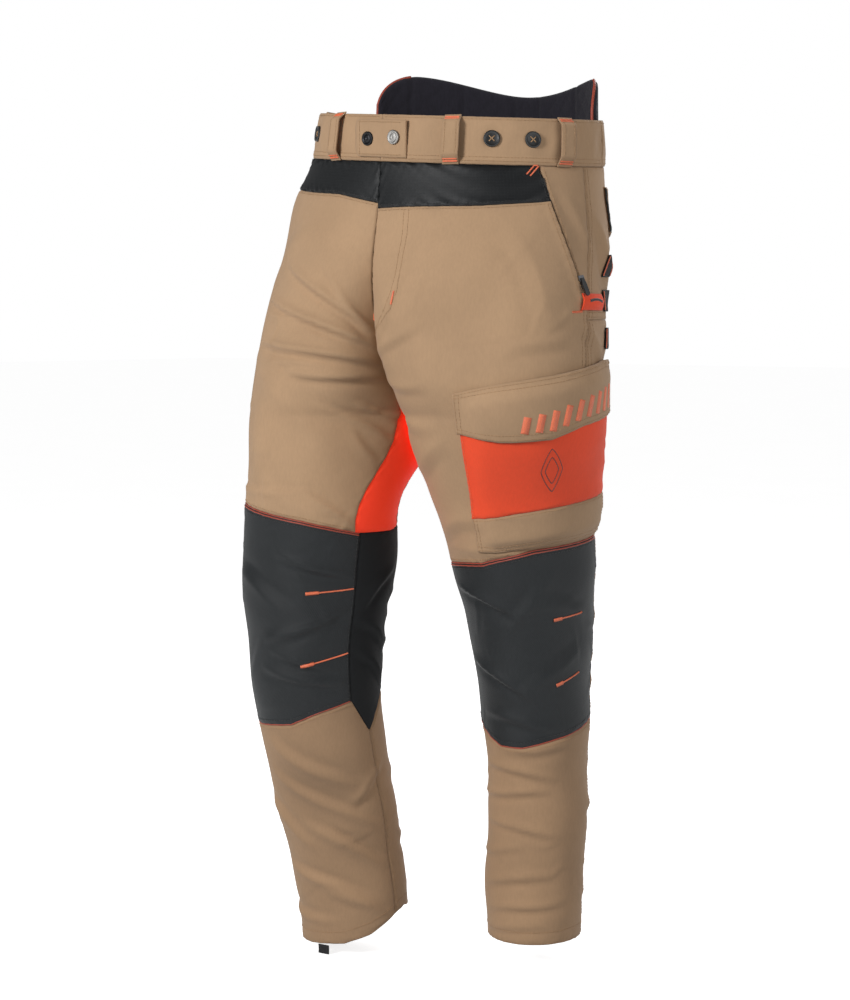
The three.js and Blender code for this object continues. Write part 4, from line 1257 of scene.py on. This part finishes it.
class TROUSERS_OT_kidney_pad(Maker):
    """Quilted pad that stands above the waistband at the back"""

    bl_idname = "trousers.kidney_pad"
    bl_label = "Kidney pad"

    @staticmethod
    def rim(b):
        """Height of the pad's top over the waist: low beside the spine, highest in two lobes, low at
        the ends."""
        off = np.abs(b) / 0.4
        lobes = 27.0 + 23.0 * smooth(off / 0.72)
        return lobes * np.sqrt(1.0 - np.clip((off - 0.7) / 0.31, 0.0, 1.0) ** 2)

    def build(self):
        """A padded slab held down along its quilting lines and rim, then let swell by a short cloth run."""
        columns, rows = 121, 33
        b = np.linspace(-0.4, 0.4, columns)
        v = np.linspace(0, 1, rows)
        outer = np.empty((rows, columns, 3))
        normals = np.empty_like(outer)
        for h, some in (("right", b < 0), ("left", b >= 0)):
            u = 1.0 - np.abs(b[some])
            top = waist_top(h, u)[None]
            foot = top - 62.0
            z = foot + (top + self.rim(b[some])[None] - foot) * v[:, None]
            points, normal = on_cloth(h, u[None] + 0 * z, z, -3.9)
            outer[:, some], normals[:, some] = points, normal
        thick = 9.0
        near = np.minimum(np.minimum(v, 1 - v)[:, None] * 100.0, (0.4 - np.abs(b))[None] * 560.0)
        round_rim = np.sqrt(np.clip(1 - (1 - np.clip(near / 6.0, 0, 1)) ** 2, 0, 1))
        half_thick = thick / 2 * (0.25 + 0.75 * round_rim)
        middle = outer - normals * (thick / 2 + 0.6)
        uv = np.stack([arc(middle, 1), arc(middle, 0)], -1)
        seams = np.minimum(np.abs(np.abs(uv[..., 0]) - 95.0), np.abs(np.abs(uv[..., 0]) - 20.0))
        seams = np.minimum(seams, np.abs(np.abs(uv[..., 0]) - 165.0))
        channel = np.exp(-((seams / 3.0) ** 2))
        diamonds = np.minimum(
            np.abs((uv[..., 0] + uv[..., 1]) / 26.0 % 1.0 - 0.5),
            np.abs((uv[..., 0] - uv[..., 1]) / 26.0 % 1.0 - 0.5)
        )
        quilt = 1.1 * np.exp(-((diamonds / 0.09) ** 2))
        depth = half_thick - 2.2 * channel - quilt * round_rim
        shell_out = middle + normals * half_thick[..., None]
        shell_in = middle - normals * depth[..., None]
        points, faces = close_sheet(shell_out, shell_in, False)
        flat_uv = uv.reshape(-1, 2)
        # Painted shade: darker near the rim on one face and along the sunken quilting lines on the other.
        seam = np.concatenate([np.exp(-near / 3.0).ravel(), np.maximum(channel, quilt * 0.6).ravel()])
        piece = new_piece("kidney_pad_quilted", points, faces, np.concatenate([flat_uv, flat_uv]), seam)
        held = np.concatenate([np.ones(near.size), np.clip(channel + quilt, 0, 1).ravel()
                               + (near.ravel() < 5)])
        swell(piece, held, 3.0)
        finish_piece(piece, finish("lining"), ROOT, ("kidney_pad",))
        self.binding(middle, normals)

    def binding(self, middle, normals):
        """Orange piping round the pad's two ends."""
        for columns, end in ((slice(0, 16), 0), (slice(-1, -17, -1), -1)):
            rim = np.concatenate([middle[4:, end], middle[-1, columns][1:]])
            up = np.concatenate([normals[4:, end], normals[-1, columns][1:]])
            keep(ROOT, "binding", swept(rim, up, round_section(1.7)))


def swell(piece, held, pressure):
    """Lets a stuffed piece settle: a short cloth run under pressure without gravity, with points held
    by share where the quilting goes through, and no point further than a small reach from where it
    was sewn."""
    frames, reach, levels = 20, 3.0, 10
    scene = bpy.context.scene
    mesh = piece.data
    before = np.empty(len(mesh.vertices) * 3)
    mesh.vertices.foreach_get("co", before)
    group = piece.vertex_groups.new(name="held")
    for level in range(1, levels + 1):
        some = np.flatnonzero(np.round(np.clip(held, 0, 1) * levels).astype(int) == level)
        group.add(some.tolist(), level / levels, "REPLACE")
    cloth = piece.modifiers.new("settle", "CLOTH")
    cloth.settings.vertex_group_mass = "held"
    cloth.settings.use_pressure = True
    cloth.settings.uniform_pressure_force = pressure
    cloth.settings.effector_weights.gravity = 0.0
    cloth.settings.quality = 4
    for number in range(1, frames + 1):
        scene.frame_set(number)
    posed = piece.evaluated_get(bpy.context.evaluated_depsgraph_get())
    after = np.empty_like(before)
    posed.data.vertices.foreach_get("co", after)
    move = (after - before).reshape(-1, 3)
    far = np.linalg.norm(move, axis=-1, keepdims=True)
    move *= np.minimum(1.0, reach * MM / np.maximum(far, 1e-9))
    if not np.isfinite(move).all():
        raise RuntimeError(piece.name + ": the cloth run did not settle")
    piece.modifiers.remove(cloth)
    piece.vertex_groups.remove(group)
    scene.frame_set(1)
    mesh.vertices.foreach_set("co", (before.reshape(-1, 3) + move).ravel())
    mesh.update()


class TROUSERS_OT_inner_layers(Maker):
    """Cut-protection pads and hip pocket bags inside the legs"""

    bl_idname = "trousers.inner_layers"
    bl_label = "Protection pads and pocket bags"

    def build(self):
        """The pads hang behind the leg fronts, quilted in upright channels."""
        for h in HALVES:
            name = f"protection_pad_{h}"

            def channels(u, z):
                """A groove every 28 mm across the pad."""
                wave = np.abs((u * GIRTH_PER_U / 28.0) % 1.0 - 0.5)
                return -7.7 - 1.5 * np.exp(-((wave / 0.08) ** 2))

            cut = Cut(h, 0.1, 0.42, -925.0, -275.0, lift=channels, spacing=7.0, pucker=0.1)
            piece, _ = shell(name + "_quilted", cut.outer, cut.normals, 4.6, cut.seam, "felt", "knee_" + h,
                             (name,), flip=h == "right")
            bag = Cut(h, 0.24, 0.49, -262.0, lambda u, h=h: band_foot(h, u) - 12.0, -9.2, spacing=9.0,
                      pucker=0.5)
            bag.make(f"side_pocket_bag_{h}_cloth", "pocketing", ROOT, "pocket_lining",
                     (f"side_pocket_bag_{h}",), cloth=1.2)


class TROUSERS_OT_cargo_pocket(Maker):
    """Cargo pocket on the left thigh with its flap"""

    bl_idname = "trousers.cargo_pocket"
    bl_label = "Cargo pocket"

    def build(self):
        """An orange front over a tan foot, standing off the thigh as a soft box, under a lifting flap."""
        foot, middle = cross_seam(POCKET_FOOT), cross_seam(ORANGE_FOOT)
        head = lambda u: seam_at(FLAP_TOP, u) - 25.0
        lift = lambda u, z: pocket_lift(u, z) + 2.2
        upper = Cut("left", 0.265, 0.595, middle, head, lift, spacing=4.5)
        upper.make("cargo_pocket_front", "orange", ROOT, "canvas_orange", ("cargo_pocket",))
        lower = Cut("left", 0.265, 0.595, foot, middle, lift, spacing=4.5)
        lower.make("cargo_pocket_foot", "tan", ROOT, "canvas_tan")
        flap = Cut("left", 0.261, 0.601, cross_seam(FLAP_FOOT), cross_seam(FLAP_TOP),
                   lambda u, z: pocket_lift(u, z) + 6.0, spacing=4.0)
        flap.make("cargo_flap_cloth", "tan", "cargo_flap", "canvas_tan", ("cargo_flap",))
        for part, piece in (("cargo_upper", upper), ("cargo_lower", lower), ("cargo_flap", flap)):
            CUTS[part, "left"] = piece
        self.trim(flap, upper)

    def trim(self, flap, upper):
        """Slanted bars printed on the flap and a small sewn diamond on the orange front: plain trimming."""
        for k in range(9):
            t = 0.34 + 0.066 * k
            v = np.linspace(0.14, 0.4 + 0.02 * k, 12)
            path, up = flap.sample(t + (v - 0.2) * 0.06, v)
            keep("cargo_flap", "print", swept(path, up,
                                              [(-4.6, -0.2), (4.6, -0.2), (4.6, 0.22), (-4.6, 0.22)]))
        turn = np.linspace(0, 2 * np.pi, 49)
        for size in (1.0, 0.62):
            t = 0.475 + 0.06 * size * np.sign(np.cos(turn)) * np.abs(np.cos(turn)) ** 1.6
            v = 0.36 + 0.2 * size * np.sign(np.sin(turn)) * np.abs(np.sin(turn)) ** 1.6
            path, up = upper.sample(t, v)
            tack_path(ROOT, path, up, 0.9, 0.35, "motif")


class TROUSERS_OT_zips(Maker):
    """Fly zip and the two hip pocket zips"""

    bl_idname = "trousers.zips"
    bl_label = "Zips"

    def build(self):
        """Each zip is a tape with two rows of moulded teeth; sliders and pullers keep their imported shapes."""
        zip_garages()
        for name in ("fly_zip", "side_zip_right", "side_zip_left"):
            self.tape(name)
            for part, kind in (("slider", "zip_metal"), ("puller", "puller")):
                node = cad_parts[f"{name}_{part}"]
                node.data.materials.clear()
                node.data.materials.append(finish(kind))
                edge = node.modifiers.new("worn edge", "BEVEL")
                edge.width, edge.segments, edge.limit_method = 0.35 * MM, 2, "ANGLE"

    def tape(self, name):
        """The tape's own straight line, read from its packed box corners, carries two rows of teeth."""
        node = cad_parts[name + "_tape"]
        co = np.empty(len(node.data.vertices) * 3)
        node.data.vertices.foreach_get("co", co)
        co = co.reshape(-1, 3) / MM
        centre = co.mean(axis=0)
        _, _, axes = np.linalg.svd(co - centre)
        long_axis = axes[0] if axes[0][2] > 0 else -axes[0]
        wide_axis, out = axes[1], axes[2]
        if np.dot(out, [0.0, -1.0, 0.0] if name == "fly_zip" else centre * [1, 1, 0]) < 0:
            out = -out
        centre = centre - out * (2.8 if name != "fly_zip" else 0.0)
        span = np.ptp((co - centre) @ long_axis)
        width = np.ptp((co - centre) @ wide_axis)
        thick = np.ptp((co - centre) @ out)
        s, t = np.linspace(-span / 2, span / 2, 60), np.linspace(-width / 2, width / 2, 9)
        face = centre + s[:, None, None] * long_axis + t[None, :, None] * wide_axis + out * thick / 2
        normals = np.zeros_like(face) + out
        flip = np.dot(np.cross(wide_axis, long_axis), out) < 0
        piece, _ = shell(name + "_tape_woven", face, normals, thick, np.zeros(face.shape[:2]), "webbing",
                         ROOT,
                         (name + "_tape",), np.stack(np.meshgrid(t, s), -1), flip)
        steps = np.arange(-span / 2 + 3, span / 2 - 3, 2.0)
        # A tooth is a block 3.4 mm wide, 1 mm high and 0.9 mm long.
        corner = np.array([(x, y, z) for z in (-0.45, 0.45)
                           for x, y in ((-1.7, 0), (1.7, 0), (1.7, 1.0), (-1.7, 1.0))])
        cube = np.array([[0, 1, 2, 3], [7, 6, 5, 4], [0, 4, 5, 1], [1, 5, 6, 2], [2, 6, 7, 3], [3, 7, 4, 0]])
        parts = []
        for lean, shift in ((-1.0, 0.0), (1.0, 1.0)):
            base = centre + (steps[:, None] + shift) * long_axis + wide_axis * lean * 0.9 + out * thick / 2
            teeth = (base[:, None] + corner[None, :, :1] * wide_axis + corner[None, :, 1:2] * out
                     + corner[None, :, 2:] * long_axis)
            faces = (cube[None] + 8 * np.arange(len(steps))[:, None, None]).reshape(-1, 4)
            parts.append((teeth.reshape(-1, 3), faces))
        points, faces = joined(parts)
        teeth = new_piece(name + "_teeth", points, faces)
        weld(teeth)
        finish_piece(teeth, finish("tooth"), ROOT)


def zip_garages():
    """The hooded end of each hip zip: an orange hood over the pocket's foot, a strip of black thread
    across it as painted shade for its slit, and a tack before it."""
    for h in HALVES:
        hood = Cut(h, 0.478, 0.552, -239.0, -219.0,
                   lambda u, z: 3.0 + 3.2 * np.sin(np.pi * np.clip((z + 239.0) / 20.0, 0, 1)), spacing=2.5,
                   valley=0.3, pucker=0.1)
        hood.make(f"zip_garage_{h}", "orange", ROOT, "canvas_orange", cloth=1.6)
        run = np.linspace(0.22, 0.86, 40)
        path, up = hood.sample(run, 0.40 + 0.22 * np.sin(run * 3.0))
        # Painted shade: a black thread strip stands for the dark of the hood's slit.
        tack_path(ROOT, path, up, 3.4, 0.7, "motif")
        panel = CUTS["front_panel", h]
        tack(ROOT, *panel.line([(0.456, -241), (0.484, -240)], 30), width=2.6)


class TROUSERS_OT_back_flaps(Maker):
    """Flaps of the two back pockets, and the side tapes"""

    bl_idname = "trousers.back_flaps"
    bl_label = "Back flaps and side tapes"

    def build(self):
        """Each flap falls from a sewn top edge to a blunt point; three short tapes cross each side seam."""
        for h in HALVES:
            low = lambda u: -146.0 - 12.0 * (1 - np.abs(np.clip((np.asarray(u) - 0.725) / 0.105, -1, 1)))
            flap = Cut(h, 0.62, 0.83, low, -90.0, 3.4, spacing=4.5)
            name = f"back_flap_{h}"
            flap.make(name + "_cloth", "tan", name, "canvas_tan", (name,))
            CUTS["back_flap", h] = flap
            edge, up = flap.edge_line("left", 0.4, (0.03, 0.97))
            keep(name, "thread_black", swept(edge, up, round_section(1.5)))
            for k, (z, start, stop) in enumerate(((-186, 0.572, 0.6), (-227, 0.57, 0.655),
                                                  (-272, 0.575, 0.66))):
                tape = Cut(h, start, stop, z - 13.0, z + 13.0, 3.2, spacing=3.0, pucker=0.1, valley=0.3)
                tape.make(f"side_tape_{h}_{k + 1}", "webbing", ROOT, "webbing_black", cloth=1.4)
                tack(ROOT, *tape.edge_line("left", 1.2, (0.05, 0.95)), width=1.8)
                tack(ROOT, *tape.edge_line("right", 1.2, (0.05, 0.95)), width=1.8)


class TROUSERS_OT_boot_hooks(Maker):
    """Webbing tabs at the hems"""

    bl_idname = "trousers.boot_hooks"
    bl_label = "Boot hooks"

    def build(self):
        """A folded length of webbing hangs from each front hem."""
        for h in HALVES:
            low, high = (np.array(c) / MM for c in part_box(f"boot_hook_{h}"))
            centre = 0.5 * (low + high)
            normal = outward(h, np.array([0.25]), np.array([float(min(z for _, z in HEM[h]))]))[0]
            normal[2] = 0
            normal /= np.linalg.norm(normal)
            across = np.cross([0.0, 0.0, 1.0], normal)
            x, v = np.linspace(-8, 8, 15), np.linspace(0, 1, 13)
            z = low[2] + (high[2] - low[2]) * v
            face = (centre * [1, 1, 0] + across * x[None, :, None] + np.array([0, 0, 1.0]) * z[:, None, None]
                    + normal * (0.75 - 0.5 * np.sin(np.pi * v)[:, None, None]))
            normals = np.zeros_like(face) + normal
            name = f"boot_hook_{h}"
            piece, _ = shell(name + "_webbing", face, normals, 1.5, np.zeros(face.shape[:2]), "webbing", name,
                             (name,), np.stack(np.meshgrid(x, z), -1))


WHOLE = (0.01, 0.99)
# Topstitching shared by both halves: piece, edge, thread, distances from the edge, stretch of the edge.
SEAM_ROWS = (
    ("front_panel", "top", "thread_tan", (3.0,), WHOLE),
    ("front_yoke", "foot", "thread_black", (3.0,), WHOLE),
    ("front_panel", "right", "thread_tan", (2.5, 8.5), (0.02, 0.99)),
    ("front_yoke", "right", "thread_black", (2.5,), WHOLE),
    ("hip_facing", "left", "thread_tan", (2.5,), WHOLE),
    ("seat_panel", "left", "thread_tan", (3.0, 9.0), WHOLE),
    ("seat_panel", "foot", "thread_tan", (3.0, 9.0), WHOLE),
    ("seat_panel", "right", "thread_tan", (3.0,), WHOLE),
    ("back_thigh", "left", "thread_tan", (3.0, 9.0), WHOLE),
    ("front_panel", "foot", "thread_tan", (3.5,), WHOLE),
    ("back_thigh", "foot", "thread_tan", (3.5,), WHOLE),
    ("shin_front", "top", "thread_tan", (3.5,), WHOLE),
    ("calf_back", "top", "thread_tan", (3.5,), WHOLE),
    ("shin_front", "foot", "thread_tan", (15.0, 1.5), WHOLE),
    ("calf_back", "foot", "thread_tan", (15.0, 1.5), WHOLE),
    ("calf_back", "left", "thread_tan", (3.0,), WHOLE),
    ("calf_back", "right", "thread_tan", (3.0,), WHOLE),
    ("knee_back", "left", "thread_tan", (3.0,), WHOLE),
    ("knee_panel", "top", "thread_black", (7.0,), WHOLE),
    ("knee_panel", "foot", "thread_black", (7.0,), WHOLE),
    ("knee_panel", "left", "thread_black", (3.0,), WHOLE),
    ("thigh_gusset", "left", "tack", (2.5,), (0.02, 0.9)),
    ("waistband", "top", "thread_tan", (3.0,), WHOLE),
    ("waistband", "foot", "thread_tan", (3.5, 8.0), WHOLE),
)


class TROUSERS_OT_sewing(Maker):
    """Topstitching, bartacks, piping and darts"""

    bl_idname = "trousers.sewing"
    bl_label = "Sewing"

    def build(self):
        """Lays the stitch lines along the finished cloth and makes one piece for each body and thread."""
        for h in HALVES:
            self.seams(h)
        self.left_front()
        self.allowances()
        kinds = {"binding": "piping", "print": "tack", "motif": "thread_black", "thread_pale": "thread_tan",
                 "allowance": "pocketing"}
        for (zone, thread), parts in SEWING.items():
            points, faces = joined([p for p in parts if len(p[0])])
            piece = new_piece(f"sewing_{zone}_{thread}", points, faces)
            finish_piece(piece, finish(kinds.get(thread, thread)), zone)
        SEWING.clear()

    def allowances(self):
        """Bound seam allowances lying flat behind the two centre seams, 18 mm wide."""
        for u, sign, top, foot in ((1.0, 1.0, -64.0, -360.0), (0.0, -1.0, -262.0, -352.0)):
            z = np.linspace(top, foot, 60)
            path = surface("left", np.full(60, u), z)
            path[:, 0] = 0.0
            outwards = np.cross(np.gradient(path, axis=0), [sign, 0.0, 0.0])
            outwards /= np.linalg.norm(outwards, axis=-1, keepdims=True)
            outwards *= np.sign(outwards[0, 1] * sign)
            tape = swept(path - outwards * 4.0, outwards,
                         [(-9.0, -0.5), (9.0, -0.5), (9.0, 0.5), (-9.0, 0.5)])
            keep(ROOT, "allowance", tape)

    def rows(self, cut, edge, zone, thread="thread_tan", insets=(3.0,), ends=(0.01, 0.99)):
        """Rows of topstitching beside one edge, one for each inset."""
        for inset in insets:
            sew(zone, thread, *cut.edge_line(edge, inset, ends))

    def cord_row(self, cut, edge, zone, inset, ends=(0.0, 1.0)):
        """A piped cord along an edge."""
        path, up = even(*cut.edge_line(edge, inset, ends), 3.0)
        keep(zone, "piping", swept(path, up, round_section(sizes().piping)))

    def seams(self, h):
        """The seams both halves share."""
        cut = {part: piece for (part, half), piece in CUTS.items() if half == h}
        shin, knee = "shin_" + h, "knee_" + h
        zones = {"shin_front": shin, "calf_back": shin, "knee_back": knee, "knee_panel": knee}
        for part, edge, thread, insets, ends in SEAM_ROWS:
            self.rows(cut[part], edge, zones.get(part, ROOT), thread, insets, ends)
        self.cord_row(cut["knee_panel"], "top", knee, 0.6)
        self.cord_row(cut["knee_panel"], "top", knee, 3.4)
        self.cord_row(cut["knee_panel"], "foot", knee, 0.6)
        self.darts(h, cut["knee_panel"])

    def darts(self, h, cut):
        """Two darts beside the knee, each a tapering orange bartack with a heavier head."""
        places = {
            "left": (((0.415, -609), (0.499, -601)), ((0.415, -689), (0.499, -676))),
            "right": (((0.158, -579), (0.052, -574)), ((0.165, -667), (0.052, -652))),
        }[h]
        for head, tail in places:
            path, up = cut.line((head, tail), 60)
            tack("knee_" + h, path, up, 1.9, 1.0)
            tack("knee_" + h, path[:17], up[:17], 4.2, 1.5)

    def left_front(self):
        """The fly's curved stitch line, its tacks, the pocket tacks and the cargo pocket's rows."""
        panel, yoke = CUTS["front_panel", "left"], CUTS["front_yoke", "left"]
        curve = [(0.09, -119), (0.1, -150), (0.105, -174), (0.116, -198), (0.121, -216), (0.116, -238),
                 (0.095, -254),
                 (0.06, -265), (0.02, -272)]
        for shift in (0.0, -0.012):
            sew(ROOT, "thread_tan", *panel.line([(u + shift, z) for u, z in curve], 120))
        tack(ROOT, *panel.line([(0.115, -216), (0.116, -232)], 30), width=2.4)
        tack(ROOT, *panel.line([(0.02, -243), (0.05, -250)], 30), width=2.4)
        self.rows(panel, "left", ROOT, insets=(2.5,), ends=(0.02, 0.99))
        for shift in (0.0, 0.009):
            drop = -shift * 200
            places = [(0.334 + shift, -80 + drop), (0.356 + shift, -66 + drop)]
            tack(ROOT, *yoke.line(places, 30), width=1.8)
        upper, lower, flap = (CUTS[p, "left"] for p in ("cargo_upper", "cargo_lower", "cargo_flap"))
        for edge in ("left", "right", "foot"):
            self.rows(lower, edge, ROOT, insets=(3.0, 8.0))
        self.rows(lower, "top", ROOT, insets=(2.5,))
        for edge in ("left", "right"):
            self.rows(upper, edge, ROOT, "tack", (3.0,))
            self.rows(flap, edge, "cargo_flap", insets=(3.0, 8.5))
        self.rows(flap, "foot", "cargo_flap", insets=(3.0, 8.5))
        self.rows(flap, "top", "cargo_flap", insets=(3.0, 8.5))
        for h in HALVES:
            back = CUTS["back_flap", h]
            for edge in ("left", "right", "foot", "top"):
                self.rows(back, edge, f"back_flap_{h}", insets=(3.0,))


class TROUSERS_OT_stage(Maker):
    """Pale floor, soft lights and the camera"""

    bl_idname = "trousers.stage"
    bl_label = "Stage"

    def build(self):
        """The floor lies just under the hems; a long lens stands 3.2 m off at the height of the hips."""
        scene = bpy.context.scene
        scene.view_settings.view_transform = "Standard"
        half = 30000.0
        points = np.array([(-half, -half, 0), (half, -half, 0), (half, half, 0), (-half, half, 0)], float)
        points[:, 2] = CAD_BOX[0][2] / MM - 1.0
        floor = new_piece("floor", points, np.array([[0, 1, 2, 3]]))
        ground = Finish("floor paint", linear("F6F6F6"), 0.95, Emission_Color=(1, 1, 1, 1),
                        Emission_Strength=0.78)
        even_paint = ground.noise(3.0, 2.0)
        ground.coloured(ground.shade(0.985, 1.015, by=even_paint))
        floor.data.materials.append(ground.material)
        floor.visible_diffuse = False
        world = scene.world or bpy.data.worlds.new("studio")
        scene.world = world
        world.use_nodes = True
        nodes, links = world.node_tree.nodes, world.node_tree.links
        nodes.clear()
        seen, given = nodes.new("ShaderNodeBackground"), nodes.new("ShaderNodeBackground")
        seen.inputs[1].default_value, given.inputs[1].default_value = 1.0, 0.22
        seen.inputs[0].default_value = given.inputs[0].default_value = (1, 1, 1, 1)
        choice, ray = nodes.new("ShaderNodeMixShader"), nodes.new("ShaderNodeLightPath")
        links.new(ray.outputs["Is Camera Ray"], choice.inputs[0])
        links.new(given.outputs[0], choice.inputs[1])
        links.new(seen.outputs[0], choice.inputs[2])
        links.new(choice.outputs[0], nodes.new("ShaderNodeOutputWorld").inputs[0])
        for name, place, size, power in (
            ("key", (-350, -3350, 850), 900, 96.0),
            ("fill", (3400, 300, 500), 2000, 36.0),
            ("back", (-800, 2800, 1500), 1600, 45.0),
        ):
            light = bpy.data.objects.new(name, bpy.data.lights.new(name, "AREA"))
            light.data.size, light.data.energy = size * MM, power
            light.location = [c * MM for c in place]
            aim(light, (0, 0, -420))
            scene.collection.objects.link(light)
        # The camera stands 40 degrees to the wearer's left of straight ahead, off 3.2 m and up 234 mm from
        # its target. The target lies 44 mm aside, and 1.25 m at it fills the picture's longer side.
        off, up, aside, shown, sensor = 3200.0, 234.0, 44.0, 1250.0, 36.0
        turn, lift = math.radians(40.0), math.atan(up / off)
        target = np.array([0, 0, -475.0]) - aside * np.array([math.cos(turn), math.sin(turn), 0])
        away = np.array([math.sin(turn) * math.cos(lift), -math.cos(turn) * math.cos(lift), math.sin(lift)])
        distance = math.hypot(off, up)
        camera = bpy.data.objects.new("camera", bpy.data.cameras.new("camera"))
        camera.data.lens = distance / shown * sensor
        camera.data.sensor_width, camera.data.sensor_fit = sensor, "AUTO"
        camera.data.clip_end = 100.0
        camera.location = (target + away * distance) * MM
        aim(camera, target)
        scene.collection.objects.link(camera)
        scene.camera = camera


def aim(thing, target):
    """Turns a light or camera to face a place given in millimetres."""
    direction = Vector([c * MM for c in target]) - thing.location
    thing.rotation_euler = direction.to_track_quat("-Z", "Y").to_euler()


MAKERS = (
    TROUSERS_OT_canvas,
    TROUSERS_OT_dark_panels,
    TROUSERS_OT_gussets,
    TROUSERS_OT_waistband,
    TROUSERS_OT_waist_tab,
    TROUSERS_OT_buttons,
    TROUSERS_OT_kidney_pad,
    TROUSERS_OT_inner_layers,
    TROUSERS_OT_cargo_pocket,
    TROUSERS_OT_zips,
    TROUSERS_OT_back_flaps,
    TROUSERS_OT_boot_hooks,
    TROUSERS_OT_sewing,
    TROUSERS_OT_stage,
)


class TROUSERS_PT_makers(bpy.types.Panel):
    """Lists the makers with the sizes and colours"""

    bl_label = "Forestry trousers"
    bl_idname = "TROUSERS_PT_makers"
    bl_space_type = "VIEW_3D"
    bl_region_type = "UI"
    bl_category = "Trousers"

    def draw(self, context):
        """Draws the sizes, the colours and a button for each maker."""
        for group in (context.scene.trouser_sizes, context.scene.trouser_colours):
            box = self.layout.box()
            for key in group.__annotations__:
                box.prop(group, key)
        for maker in MAKERS:
            self.layout.operator(maker.bl_idname)


CLASSES = (TrouserSizes, TrouserColours, *MAKERS, TROUSERS_PT_makers)


def register():
    """Adds the classes and the two property groups."""
    for item in CLASSES:
        bpy.utils.register_class(item)
    bpy.types.Scene.trouser_sizes = bpy.props.PointerProperty(type=TrouserSizes)
    bpy.types.Scene.trouser_colours = bpy.props.PointerProperty(type=TrouserColours)


def unregister():
    """Takes the property groups and classes away again."""
    del bpy.types.Scene.trouser_sizes
    del bpy.types.Scene.trouser_colours
    for item in reversed(CLASSES):
        bpy.utils.unregister_class(item)


def main():
    """Builds everything."""
    register()
    for maker in MAKERS:
        group, name = maker.bl_idname.split(".")
        if getattr(getattr(bpy.ops, group), name)() != {"FINISHED"}:
            raise RuntimeError(maker.bl_label + " did not finish")


if __name__ == "__main__":
    main()
